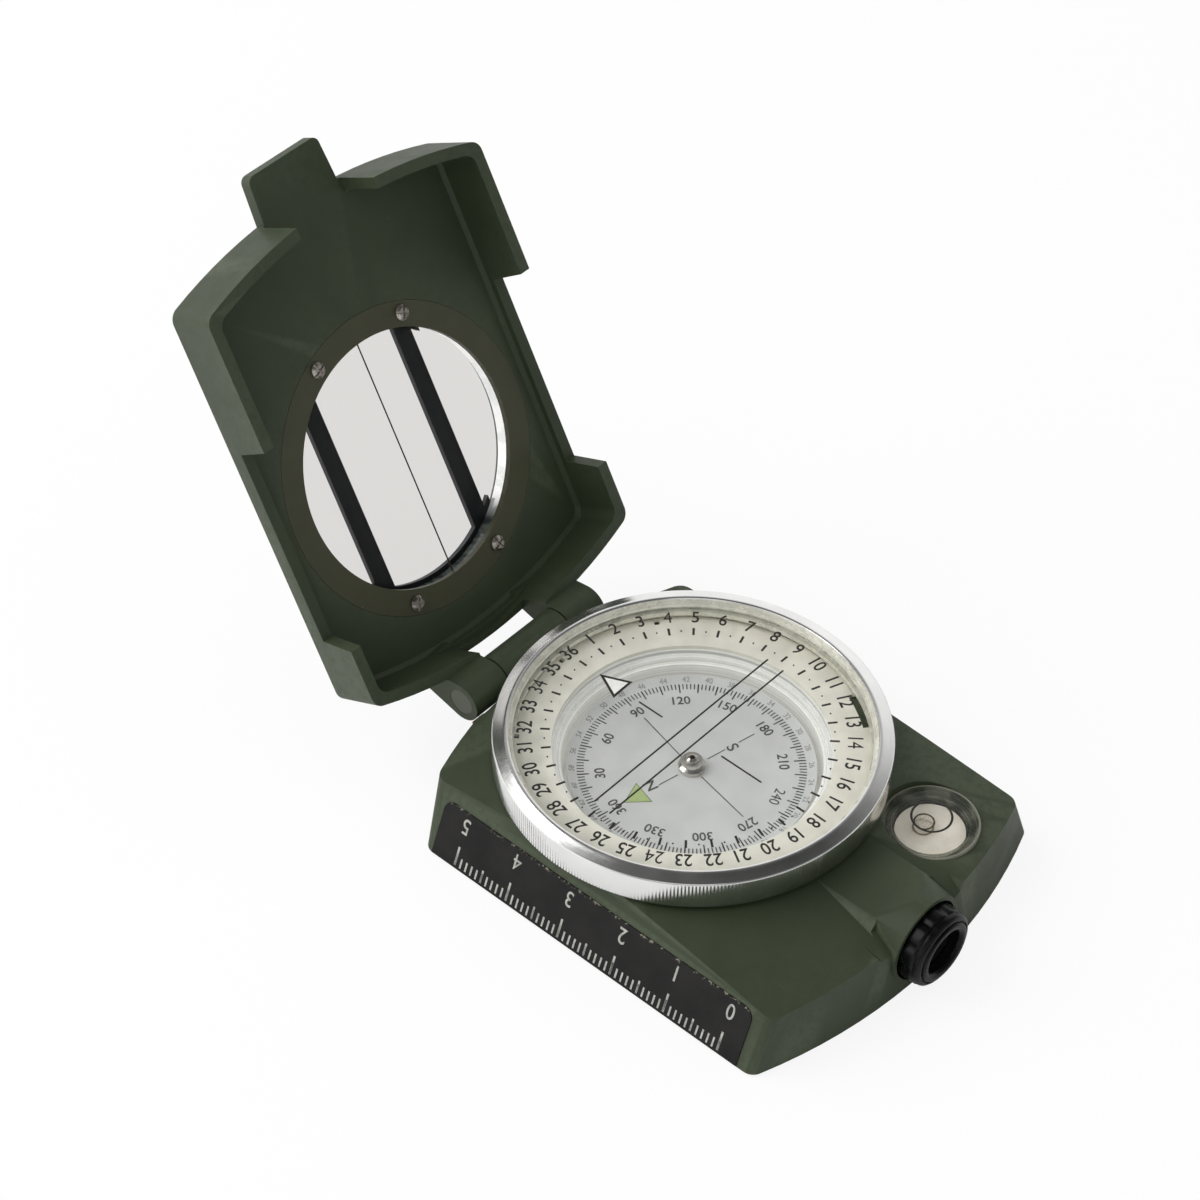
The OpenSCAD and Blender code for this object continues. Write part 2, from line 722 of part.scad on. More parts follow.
// Flat plate that closes the casing from below
module bottom_plate() {
    color(olive)
        difference() {
            linear_extrude(height = plate_t - seat_gap)
                polygon(outline(case_half_w, eye_reach, hinge_reach, plate_rim + seat_gap));
            at_plate_screws() {
                translate([0, 0, -past])
                    cylinder(h = plate_t + 2 * past, r = plate_screw_r + screw_gap, $fn = 32);
                translate([0, 0, -eps])
                    cylinder(h = plate_screw_r + eps, r1 = 2 * plate_screw_r + screw_gap,
                        r2 = plate_screw_r + screw_gap, $fn = 32);
            }
        }
}

// Four countersunk screws of the bottom plate
module plate_screws() {
    slot_l = 3 * plate_screw_r;
    color("silver")
        at_plate_screws()
            difference() {
                union() {
                    translate([0, 0, screw_gap])
                        cylinder(h = plate_screw_r - screw_gap, r1 = 2 * plate_screw_r - screw_gap,
                            r2 = plate_screw_r, $fn = 32);
                    translate([0, 0, plate_screw_r - eps])
                        cylinder(h = plate_screw_l - plate_screw_r, r = plate_screw_r, $fn = 32);
                }
                translate([-plate_slot_w / 2, -slot_l / 2, -past])
                    cube([plate_slot_w, slot_l, past + plate_slot_d]);
                translate([-slot_l / 2, -plate_slot_w / 2, -past])
                    cube([slot_l, plate_slot_w, past + plate_slot_d]);
            }
}

// The ruler plate's outline on the leaning side
module ruler_outline(grow = 0) {
    w = ruler_w + 2 * grow;
    l = ruler_l + 2 * grow;
    r = ruler_corner_r;
    translate([ruler_reach - ruler_l - grow, ruler_foot - grow]) {
        square([l, w - r]);
        translate([r, w - r - eps])
            square([l - 2 * r, r + eps]);
        for (x = [r, l - r])
            translate([x, w - r])
                circle(r = r, $fn = 48);
    }
}

// Black scale plate on the casing's left side
module ruler_plate() {
    color([0.12, 0.12, 0.12])
        on_ruler_side()
            translate([0, 0, -ruler_seat + seat_gap])
                linear_extrude(height = ruler_t)
                    ruler_outline();
}

// Clear moulded bowl that holds the dial
module dial_bowl() {
    floor_z = bowl_z + bowl_floor;
    color([0.82, 0.83, 0.82])
        rotate_extrude($fn = 120)
            polygon([[pivot_r, bowl_z + seat_gap], [bowl_r, bowl_z + seat_gap],
                [bowl_r, bowl_rim_z], [mouth_r, bowl_rim_z], [mouth_r, ledge_z],
                [ledge_r, ledge_z], [ledge_r, chamber_z], [chamber_r, chamber_z],
                [chamber_r, floor_z], [pivot_r, floor_z]]);
}

// Sealed glass over the dial, on the bowl's ledge
module dial_glass() {
    color([0.85, 0.9, 0.9, 0.3])
        translate([0, 0, ledge_z + seat_gap])
            cylinder(h = dial_glass_t, r = mouth_r - seat_gap, $fn = 120);
}

// Pale ring that glows in the dark, on the casing's spigot
module luminous_ring() {
    color([0.85, 0.86, 0.78])
        difference() {
            translate([0, 0, bowl_rim_z + seat_gap])
                cylinder(h = lume_t - seat_gap, r = lume_r, $fn = 120);
            translate([0, 0, bowl_rim_z - past])
                cylinder(h = lume_t + 2 * past, r = mouth_r, $fn = 120);
            for (a = [-lume_notch_a, 0, lume_notch_a])
                rotate([0, 0, a + lume_wide_a])
                    translate([lume_r - lume_notch, -lume_wide_w / 2, bowl_rim_z - past])
                        cube([2 * lume_notch, lume_wide_w, lume_t + 2 * past]);
            for (a = lume_narrow_a)
                rotate([0, 0, a])
                    translate([lume_r - lume_notch, -lume_narrow_w / 2, bowl_rim_z - past])
                        cube([2 * lume_notch, lume_narrow_w, lume_t + 2 * past]);
        }
}

// Steel pin that the dial turns on
module pivot_pin() {
    tip_z = hub_z - jewel_seat - screw_gap;
    color("silver")
        rotate_extrude($fn = 32)
            polygon([[0, bowl_z + seat_gap], [pivot_r, bowl_z + seat_gap],
                [pivot_r, tip_z - pivot_point_l], [0, tip_z]]);
}

// Printed dial card with a raised rim
module dial_card() {
    z = card_z - card_t;
    color([0.8, 0.8, 0.8])
        rotate_extrude($fn = 120)
            polygon([[hub_r + seat_gap, z], [card_flat_r, z], [card_r, z + card_rise],
                [card_r, card_z + card_rise], [card_flat_r, card_z],
                [hub_r + seat_gap, card_z]]);
}

// Brass hub with the bore that the pivot pin stands in
module dial_hub() {
    bore_r = pivot_r + run_gap;
    color([0.72, 0.6, 0.35])
        rotate_extrude($fn = 48)
            polygon([[bore_r, card_z - card_t - magnet_t], [hub_r, card_z - card_t - magnet_t],
                [hub_r, card_z + seat_gap], [hub_flange_r, card_z + seat_gap],
                [hub_flange_r, card_z + hub_flange_t],
                [hub_r, card_z + hub_flange_t + hub_cone_h], [hub_r, hub_z],
                [jewel_r + seat_gap, hub_z], [jewel_r + seat_gap, hub_z - jewel_seat],
                [bore_r, hub_z - jewel_seat]]);
}

// Polished cup jewel on the pin's point
module jewel_cap() {
    color([0.8, 0.82, 0.85])
        rotate_extrude($fn = 48)
            polygon(concat([[0, hub_z - jewel_seat + jewel_cup],
                    [jewel_r, hub_z - jewel_seat + seat_gap]],
                [for (a = [0 : 15 : 90]) [jewel_r * cos(a), hub_z + jewel_h * sin(a)]]));
}

// Bar magnet under the card, pointing along its north line
module dial_magnet() {
    color([0.3, 0.3, 0.32])
        difference() {
            rotate([0, 0, north_a])
                translate([-magnet_l / 2, -magnet_w / 2, card_z - card_t - magnet_t])
                    cube([magnet_l, magnet_w, magnet_t - seat_gap]);
            translate([0, 0, bowl_z])
                cylinder(h = card_z, r = hub_r + seat_gap, $fn = 48);
        }
}

// The knurl's outline: a circle with evenly spaced grooves
module knurl_outline() {
    step = 360 / knurl_count;
    polygon([for (i = [0 : knurl_count - 1], k = [0, 0.5, 0.75])
        let (r = k == 0.75 ? bezel_r - knurl_depth : bezel_r, a = (i + k) * step)
            [r * cos(a), r * sin(a)]]);
}

// Turning bezel, knurled at its side, with a bright lip over the glass
module bezel_ring() {
    groove_r = spigot_r + snap_groove;
    color([0.85, 0.86, 0.87])
        difference() {
            union() {
                translate([0, 0, bezel_z])
                    linear_extrude(height = knurl_h)
                        knurl_outline();
                translate([0, 0, bezel_z + knurl_h - eps])
                    cylinder(h = bezel_top_z - bezel_z - knurl_h + eps,
                        r1 = bezel_r - knurl_depth, r2 = lip_r, $fn = 120);
            }
            translate([0, 0, bezel_z - past])
                cylinder(h = glass_top_z - bezel_z + past, r = bezel_bore_r, $fn = 120);
            translate([0, 0, glass_top_z - eps])
                cylinder(h = lip_rise + 2 * eps, r1 = lip_in_r - eps,
                    r2 = lip_r - lip_crest_w + eps, $fn = 120);
            rotate_extrude($fn = 120)
                translate([groove_r - past, snap_z - snap_wire_r - snap_air])
                    square([past, 2 * (snap_wire_r + snap_air)]);
        }
}

// Glass that turns with the bezel and carries the printed circle
module bezel_glass() {
    color([0.85, 0.9, 0.9, 0.25])
        translate([0, 0, glass_under_z])
            cylinder(h = bezel_glass_t - seat_gap, r = bezel_bore_r - seat_gap, $fn = 120);
}

// Ring that holds the bezel's glass from below
module glass_retainer() {
    color("silver")
        rotate_extrude($fn = 120)
            translate([bezel_bore_r - seat_gap - retainer_w, glass_under_z - seat_gap - retainer_t])
                square([retainer_w, retainer_t]);
}

// Split wire ring that keeps the bezel on its spigot
module bezel_snap_ring() {
    color("silver")
        difference() {
            rotate_extrude($fn = 120)
                translate([spigot_r - run_gap, snap_z])
                    circle(r = snap_wire_r, $fn = 32);
            translate([-snap_split / 2, 0, snap_z - past])
                cube([snap_split, bezel_r, 2 * past]);
        }
}

// Clear cup of the bull's-eye level
module level_cup() {
    disc_seat_z = level_disc_z - level_disc_t;
    rim_seat_z = level_z - level_glass_t;
    bore_r = level_disc_r + level_disc_gap;
    color([0.8, 0.81, 0.78])
        translate([level_x, -level_y, 0])
            rotate_extrude($fn = 96)
                polygon([[0, level_foot_z + seat_gap], [level_r, level_foot_z + seat_gap],
                    [level_r, level_z], [level_r - level_rim_w, level_z],
                    [level_r - level_rim_w, rim_seat_z], [bore_r, rim_seat_z],
                    [bore_r, disc_seat_z], [0, disc_seat_z]]);
}

// Pale disc under the level's bubble
module level_disc() {
    color([0.85, 0.83, 0.76])
        translate([level_x, -level_y, level_disc_z - level_disc_t + seat_gap])
            cylinder(h = level_disc_t - seat_gap, r = level_disc_r);
}

// Domed glass of the level
module level_glass() {
    edge_r = level_r - level_rim_w - seat_gap;
    dome_r = (edge_r * edge_r + level_dome * level_dome) / (2 * level_dome);
    color([0.85, 0.9, 0.9, 0.3])
        translate([level_x, -level_y, 0])
            intersection() {
                translate([0, 0, level_z - level_glass_t + seat_gap])
                    cylinder(h = level_glass_t + level_dome, r = edge_r);
                translate([0, 0, level_z + level_dome - dome_r])
                    sphere(r = dome_r, $fn = 120);
            }
}

// Right-angle prism behind the eyepiece
module prism() {
    mid_y = (chamber_eye_y + chamber_dial_y) / 2;
    color([0.8, 0.88, 0.9, 0.4])
        translate([-prism_half_l, mid_y, prism_z])
            rotate([90, 0, 90])
                linear_extrude(height = 2 * prism_half_l)
                    polygon([[-prism_leg / 2, 0], [prism_leg / 2, 0],
                        [-prism_leg / 2, prism_leg]]);
}

// Black cradle that carries the prism on the bottom plate
module prism_cradle() {
    mid_y = (chamber_eye_y + chamber_dial_y) / 2;
    half_w = prism_half_l + cradle_t;
    half_l = prism_leg / 2;
    color([0.1, 0.1, 0.1])
        difference() {
            translate([-half_w, mid_y - half_l, plate_t + seat_gap])
                cube([2 * half_w, 2 * half_l, prism_z + cheek_h - plate_t]);
            translate([-prism_half_l - seat_gap, mid_y - half_l - past, prism_z - seat_gap])
                cube([2 * (prism_half_l + seat_gap), 2 * (half_l + past), prism_leg]);
        }
}

// Fixed black tube that carries the knob and guides the lens cell
module eyepiece_tube() {
    color([0.08, 0.08, 0.09])
        difference() {
            bar_y(tube_r, chamber_eye_y, tube_front_y);
            bar_y(tube_r - tube_wall, chamber_eye_y + past, tube_front_y - past);
        }
}

// Black focusing knob, notched for grip
module eyepiece_knob() {
    color([0.06, 0.06, 0.07])
        difference() {
            union() {
                bar_y(knob_r, knob_back_y, -knob_reach + knob_bevel);
                bar_y(knob_r, -knob_reach + knob_bevel + eps, -knob_reach, knob_r - knob_bevel);
            }
            bar_y(tube_r + run_gap, knob_back_y + past, tube_front_y - swing_gap);
            bar_y(sight_r, knob_back_y, -knob_reach - past);
            bar_y(sight_r, -knob_reach + sight_bevel, -knob_reach - eps, sight_r + sight_bevel);
            for (i = [0 : knob_notches - 1])
                translate([0, 0, eye_z])
                    rotate([0, (i + 0.5) * 360 / knob_notches, 0])
                        translate([0, 0, knob_r + knob_notch_r / 3])
                            rotate([90, 0, 0])
                                translate([0, 0, -knob_back_y - past])
                                    cylinder(h = knob_l - knob_plain_l + past,
                                        r = knob_notch_r, $fn = 24);
        }
}

// Lens cell that slides in the tube as the knob turns
module lens_cell() {
    color([0.05, 0.05, 0.05])
        difference() {
            bar_y(cell_r, cell_front_y + cell_l, cell_front_y);
            bar_y(lens_r + seat_gap, cell_front_y + lens_seat, cell_front_y - past);
            bar_y(lens_r - lens_shoulder, cell_front_y + cell_l + past, cell_front_y + past);
        }
}

// Eyepiece lens, domed at its front
module eyepiece_lens() {
    back_y = cell_front_y + lens_seat - seat_gap;
    color([0.8, 0.88, 0.9, 0.4])
        intersection() {
            bar_y(lens_r, back_y, back_y - lens_t);
            translate([0, back_y - lens_t + lens_dome_r, eye_z])
                sphere(r = lens_dome_r, $fn = 96);
        }
}

// The cover's outer form, closed, with the boss around its window and its tab
module cover_form() {
    back_half_w = cover_half_w - cover_lean * (cover_back_z - rim_z);
    loft([level(rim_z, cover_half_w, tip_reach, heel_reach),
        level(cover_back_z - back_bevel, back_half_w, tip_reach, heel_reach),
        level(cover_back_z, back_half_w, tip_reach, heel_reach, back_bevel)]);
    translate([0, 0, cover_back_z - tab_set])
        cylinder(h = boss_z - cover_back_z + tab_set, r1 = boss_r, r2 = boss_face_r, $fn = 120);
    end_half_w = tab_half_w - tab_taper - tab_r;
    translate([0, 0, inner_z])
        linear_extrude(height = cover_t - tab_set)
            polygon(concat([[tab_half_w, -tip_reach + wall_t], [-tab_half_w, -tip_reach + wall_t]],
                arc(-end_half_w, -tab_reach + tab_r, tab_r, 180, 270, corner_steps),
                arc(end_half_w, -tab_reach + tab_r, tab_r, 270, 360, corner_steps)));
}

// One lug of the cover: barrel end and arm, closed
module cover_lug(x0, x1) {
    hull() {
        translate([0, hinge_y, hinge_z])
            bar_x(barrel_r, x0, x1, $fn = 48);
        translate([x0, heel_reach - arm_set, inner_z - arm_h])
            cube([x1 - x0, arm_t, arm_h]);
    }
}

// Cast cover, drawn closed
module cover_closed() {
    inner_half_w = cover_half_w - cover_lean * (inner_z - rim_z);
    difference() {
        union() {
            difference() {
                cover_form();
                loft([level(rim_z - past, cover_half_w, tip_reach, heel_reach, wall_t),
                    level(inner_z - fillet, inner_half_w, tip_reach, heel_reach, wall_t),
                    level(inner_z, inner_half_w, tip_reach, heel_reach, wall_t + fillet)]);
                cover_openings();
            }
            cover_lug(barrel_half_l + swing_gap / 2, lug_half_l);
            cover_lug(-lug_half_l, -barrel_half_l - swing_gap / 2);
        }
        cylinder(h = bezel_top_z + swing_gap, r = bezel_r + swing_gap, $fn = 120);
        window_cuts();
        translate([0, hinge_y, hinge_z])
            bar_x(pin_r + seat_gap, -lug_half_l - past, lug_half_l + past);
        for (side = [-1, 1])
            translate([side * (lug_half_l - pin_head_l / 2 + past / 2), hinge_y, hinge_z])
                bar_x(pin_head_r + seat_gap, -(pin_head_l + past) / 2, (pin_head_l + past) / 2);
    }
}

// Openings in the cover's walls: side notches, tip gap, gap between the lugs
module cover_openings() {
    sill_z = inner_z - notch_sill;
    for (side = [-1, 1])
        translate([side * cover_half_w, 0, 0])
            rotate([90, 0, 90])
                linear_extrude(height = 4 * wall_t, center = true)
                    polygon([[-notch_tip - notch_spread, rim_z - past],
                        [-notch_tip + notch_taper, sill_z],
                        [notch_heel - notch_taper, sill_z],
                        [notch_heel + notch_spread, rim_z - past]]);
    translate([-tip_gap, -tip_reach - past, rim_z - past])
        cube([2 * tip_gap, wall_t + past + tip_gap_in, inner_z - rim_z + past]);
    translate([-barrel_half_l - swing_gap / 2, heel_reach - wall_t - heel_gap_in, rim_z - past])
        cube([2 * barrel_half_l + swing_gap, 2 * wall_t + heel_gap_in,
            inner_z - heel_sill - rim_z + past]);
}

// The window's seats, its opening with two bars and wider sides, and its screw holes
module window_cuts() {
    translate([0, 0, inner_z - past])
        cylinder(h = ring_t + past, r = ring_r + seat_gap, $fn = 120);
    translate([0, 0, inner_z])
        cylinder(h = ring_t + glass_t + seat_gap, r = glass_r + seat_gap, $fn = 120);
    difference() {
        translate([0, 0, inner_z])
            cylinder(h = boss_z - inner_z + past, r = back_r, $fn = 120);
        for (side = [-1, 1])
            translate([side * bar_x - bar_w / 2, -back_r - past, glass_seat_z + glass_t + seat_gap])
                cube([bar_w, 2 * (back_r + past), 2 * past + bar_t]);
        translate([0, 0, boss_z])
            cylinder(h = 3 * past, r = back_r + past);
    }
    open_r = glass_r - side_ledge;
    for (side = [-1, 1])
        intersection() {
            translate([0, 0, glass_seat_z + glass_t])
                cylinder(h = bar_t + past, r1 = open_r, r2 = open_r + side_flare, $fn = 120);
            translate([side * (bar_x + bar_w / 2 + side_step + glass_r / 2), 0, boss_z])
                cube([glass_r, 2 * glass_r, 3 * bar_t], center = true);
        }
    at_window_screws()
        cylinder(h = ring_t + screw_l, r = screw_r + seat_gap, $fn = 32);
}

// The four places of the window screws, on the cover's inner face
module at_window_screws() {
    for (a = [screw_a, 180 - screw_a, 180 + screw_a, -screw_a])
        rotate([0, 0, a + 90])
            translate([screw_pitch_r, 0, inner_z])
                children();
}

// Cast cover at the opening shown
module cover() {
    color(olive)
        opened()
            cover_closed();
}

// Thick clear disc in the cover's window
module window_glass() {
    color([0.85, 0.9, 0.9, 0.25])
        opened()
            translate([0, 0, glass_seat_z + seat_gap])
                cylinder(h = glass_t - seat_gap, r = glass_r, $fn = 120);
}

// Ring that holds the window's glass
module window_ring() {
    color([0.19, 0.18, 0.1])
        opened()
            difference() {
                translate([0, 0, inner_z])
                    cylinder(h = ring_t - seat_gap, r = ring_r, $fn = 120);
                translate([0, 0, inner_z - past])
                    cylinder(h = ring_t + 2 * past, r = window_r, $fn = 120);
                at_window_screws()
                    translate([0, 0, -past])
                        cylinder(h = ring_t + 2 * past, r = screw_r + seat_gap, $fn = 32);
            }
}

// Four small screws of the window ring, with crossed slots
module window_screws() {
    slot_l = 3 * screw_head_r;
    color("silver")
        opened()
            at_window_screws()
                difference() {
                    union() {
                        translate([0, 0, -screw_head_h])
                            cylinder(h = screw_head_h / 2, r1 = screw_head_r * screw_crown,
                                r2 = screw_head_r, $fn = 32);
                        translate([0, 0, -screw_head_h / 2 - eps])
                            cylinder(h = screw_head_h / 2 + eps - seat_gap, r = screw_head_r, $fn = 32);
                        translate([0, 0, -seat_gap - eps])
                            cylinder(h = screw_l + seat_gap, r = screw_r, $fn = 32);
                    }
                    translate([-window_slot_w / 2, -slot_l / 2, -screw_head_h - past])
                        cube([window_slot_w, slot_l, past + window_slot_d]);
                    translate([-slot_l / 2, -window_slot_w / 2, -screw_head_h - past])
                        cube([slot_l, window_slot_w, past + window_slot_d]);
                }
}

// Fine sighting line across the window, on the glass
module sighting_line() {
    color([0.05, 0.05, 0.05])
        opened()
            translate([0, window_r - seat_gap, glass_seat_z - sight_line_r])
                rotate([90, 0, 0])
                    cylinder(h = 2 * (window_r - seat_gap), r = sight_line_r, $fn = 16);
}

// Hinge pin with a flush round head at each end
module hinge_pin() {
    color([0.3, 0.32, 0.28])
        translate([0, hinge_y, hinge_z]) {
            bar_x(pin_r, -lug_half_l + pin_head_l / 2, lug_half_l - pin_head_l / 2);
            for (side = [-1, 1])
                translate([side * (lug_half_l - pin_head_l / 2), 0, 0])
                    bar_x(pin_head_r, -pin_head_l / 2 + seat_gap, pin_head_l / 2);
        }
}

// The friction leaves' places: tongues that stand out of the casing's hinge end
module leaf_places(grow) {
    for (side = [-1, 1])
        translate([side * (lug_half_l - leaf_set) - leaf_w / 2 - grow, leaf_root_y - grow,
            hinge_z - barrel_r - leaf_t - grow + leaf_lift])
            cube([leaf_w + 2 * grow, leaf_l + grow, leaf_t + 2 * grow]);
}

// Bronze leaves that sit in the casing under the lugs and brake the cover
module friction_leaves() {
    color([0.72, 0.45, 0.25])
        leaf_places(0);
}

base_body();
bottom_plate();
plate_screws();
ruler_plate();
dial_bowl();
dial_glass();
luminous_ring();
pivot_pin();
dial_card();
dial_hub();
jewel_cap();
dial_magnet();
bezel_ring();
bezel_glass();
glass_retainer();
bezel_snap_ring();
level_cup();
level_disc();
level_glass();
prism();
prism_cradle();
eyepiece_tube();
eyepiece_knob();
lens_cell();
eyepiece_lens();
cover();
window_glass();
window_ring();
window_screws();
sighting_line();
hinge_pin();
friction_leaves();
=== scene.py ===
"""Looks of a folding sighting compass, laid out as a Blender add-on and run as a script.

Every size below is in millimetres unless its name says otherwise. The compass lies in the frame of its
solids: the dial's axis is Z, the hinge is at +Y and the eyepiece at -Y."""

import math

import bmesh
import bpy
from bpy.props import FloatProperty, FloatVectorProperty, PointerProperty
from mathutils import Matrix, Vector


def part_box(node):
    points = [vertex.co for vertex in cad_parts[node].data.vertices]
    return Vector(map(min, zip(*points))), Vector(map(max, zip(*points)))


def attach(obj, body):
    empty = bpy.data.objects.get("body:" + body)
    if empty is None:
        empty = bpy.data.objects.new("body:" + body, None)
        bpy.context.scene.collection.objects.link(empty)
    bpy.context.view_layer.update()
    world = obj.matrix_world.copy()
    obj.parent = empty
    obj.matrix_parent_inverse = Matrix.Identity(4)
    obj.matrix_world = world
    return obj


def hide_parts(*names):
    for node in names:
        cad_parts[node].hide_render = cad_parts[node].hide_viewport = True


bl_info = {
    "name": "Folding sighting compass",
    "version": (1, 0, 0),
    "blender": (4, 5, 0),
    "location": "3D View > Sidebar > Compass",
    "description": "Models the print, knurls, softened castings and finishes of a folding sighting compass",
    "category": "Object",
}

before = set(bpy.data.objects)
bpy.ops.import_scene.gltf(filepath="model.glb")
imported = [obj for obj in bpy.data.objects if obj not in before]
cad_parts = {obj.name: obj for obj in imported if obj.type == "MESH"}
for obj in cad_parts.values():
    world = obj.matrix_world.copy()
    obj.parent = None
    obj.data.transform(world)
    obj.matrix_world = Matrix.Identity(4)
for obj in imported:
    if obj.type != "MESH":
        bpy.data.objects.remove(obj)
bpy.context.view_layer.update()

MM = 0.001
# Places in the solids: the eyepiece's axis, the bezel glass's top, the card, the level and the hinge
EYE_Z = 6.8
GLASS_TOP_Z = 17.06
CARD_Z = 10.2
LEVEL = (14.9, -32.4)
HINGE = (0, 32.6, 11.5)
OPENING = -118.9
SIDE_LEAN = 0.393
# What takes the painted shade in the closed cover's window: its heights and its reach
WINDOW_LOW, WINDOW_HIGH, WINDOW_REACH = 20.5, 24.98, 21.4
BEZEL_R, LIP_R, GROOVES = 29.0, 26.65, 360
# The print on the bezel's glass: its middle, the bearing of its first mark, and its radii
PRINT_MIDDLE = (-0.31, 0.39)
FIRST_MARK = 89.44
NUMBER_R = 23.85
TICK_R = (20.15, 21.57)
DOT_R = (20.82, 21.04)
# The dial card: the bearing of its north, and its radii
NORTH = 167.5
CARD_NUMBER_R = 13.4
CARD_TICK_R = 16.7
# The ruler's zero along the casing, and its ticks and numbers up the slope
RULER_ZERO, RULER_FOOT, RULER_NUMBERS = 31.98, 0.95, 7.65


def mm(*values):
    """A place in metres from millimetres."""
    return Vector(values) * MM


# The cover's place: from its closed drawing to the opening shown
COVER_TURN = (Matrix.Translation(mm(*HINGE)) @ Matrix.Rotation(math.radians(OPENING), 4, "X")
              @ Matrix.Translation(-mm(*HINGE)))
# The ruler's slope: X towards the eyepiece, Y up the slope and Z out of it
RULER_SLOPE = (Matrix.Translation(mm(-31.3, 0, 0)) @ Matrix.Rotation(math.atan(SIDE_LEAN), 4, "Y")
               @ Matrix.Rotation(math.radians(-90), 4, "Z") @ Matrix.Rotation(math.radians(90), 4, "X"))


def turned_at(place, degrees):
    """A move to a place in metres after a turn about the upright axis."""
    return Matrix.Translation(place) @ Matrix.Rotation(math.radians(degrees), 4, "Z")


# Sizes and colours that a user may change

LENGTH = {"subtype": "DISTANCE", "unit": "LENGTH"}
COLOUR = {"min": 0, "max": 1, "subtype": "COLOR"}


class PrintSizes(bpy.types.PropertyGroup):
    bezel_digit: FloatProperty(name="Bezel numbers", description="Height of the numbers on the bezel's glass",
                               default=2.25 * MM, min=1.5 * MM, max=3 * MM, **LENGTH)
    card_digit: FloatProperty(name="Card numbers", description="Height of the numbers on the dial card",
                              default=1.5 * MM, min=1 * MM, max=2.2 * MM, **LENGTH)
    ruler_digit: FloatProperty(name="Ruler numbers", description="Height of the ruler's numbers",
                               default=3.0 * MM, min=2 * MM, max=4 * MM, **LENGTH)
    ink: FloatProperty(name="Ink thickness", description="How far the print stands out of what carries it",
                       default=0.02 * MM, min=0.01 * MM, max=0.05 * MM, **LENGTH)
    tick: FloatProperty(name="Bezel ticks", description="Width of the ticks at each ten degrees of the bezel",
                        default=0.36 * MM, min=0.2 * MM, max=0.6 * MM, **LENGTH)
    sight: FloatProperty(name="Sight lines", description="Width of the two long lines on the bezel's glass",
                         default=0.28 * MM, min=0.1 * MM, max=0.4 * MM, **LENGTH)


class CastingLook(bpy.types.PropertyGroup):
    enamel: FloatVectorProperty(name="Enamel", description="Colour of the olive enamel on the castings",
                                default=(0.034, 0.047, 0.024), **COLOUR)
    # The rubbed colour on the edges is worn enamel and, in part, a painted highlight
    rubbed: FloatVectorProperty(name="Rubbed enamel", description="Colour of the enamel's rubbed edges",
                                default=(0.085, 0.105, 0.066), **COLOUR)
    softness: FloatProperty(name="Edge radius", description="Rounding of the castings' edges",
                            default=0.4 * MM, min=0.1 * MM, max=0.8 * MM, **LENGTH)
    rubbing: FloatProperty(name="Rubbing", description="Share of the rubbed colour along the edges",
                           default=0.45, min=0, max=1, subtype="FACTOR")


class DialLook(bpy.types.PropertyGroup):
    glow: FloatVectorProperty(name="Luminous ring", description="Colour of the pale luminous ring",
                              default=(0.80, 0.775, 0.68), **COLOUR)
    card: FloatVectorProperty(name="Dial card", description="Colour of the dial card",
                              default=(0.70, 0.70, 0.685), **COLOUR)
    arrow: FloatVectorProperty(name="North arrow", description="Colour of the arrow at the card's north",
                               default=(0.50, 0.62, 0.26), **COLOUR)


class StageLook(bpy.types.PropertyGroup):
    floor: FloatVectorProperty(name="Floor", description="Colour of the floor",
                               default=(0.9, 0.9, 0.9), **COLOUR)
    key: FloatProperty(name="Key light", description="Power of the large lamp behind the cover",
                       default=7.0, min=0, max=60, unit="POWER")
    fill: FloatProperty(name="Fill light", description="Power of the lamp at the ruler's side",
                        default=0.6, min=0, max=60, unit="POWER")
    sky: FloatProperty(name="Room light", description="Strength of the light of the room on matt surfaces",
                       default=0.65, min=0, max=2, subtype="FACTOR")


def print_sizes():
    return bpy.context.scene.compass_print


def casting_look():
    return bpy.context.scene.compass_casting


def dial_look():
    return bpy.context.scene.compass_dial


def stage_look():
    return bpy.context.scene.compass_stage


# Shader maths

class Value:
    """A node's output socket. Sums and products of it add Math nodes."""

    def __init__(self, finish, socket):
        self.finish = finish
        self.socket = socket

    def maths(self, operation, a, b):
        return self.finish.node("ShaderNodeMath", {"operation": operation}, {0: a, 1: b})

    def __add__(self, other):
        return self.maths("ADD", self, other)

    def __radd__(self, other):
        return self.maths("ADD", other, self)

    def __sub__(self, other):
        return self.maths("SUBTRACT", self, other)

    def __rsub__(self, other):
        return self.maths("SUBTRACT", other, self)

    def __mul__(self, other):
        return self.maths("MULTIPLY", self, other)

    def __rmul__(self, other):
        return self.maths("MULTIPLY", other, self)

    def __pow__(self, other):
        return self.maths("POWER", self, other)

    def highest(self, other):
        return self.maths("MAXIMUM", self, other)


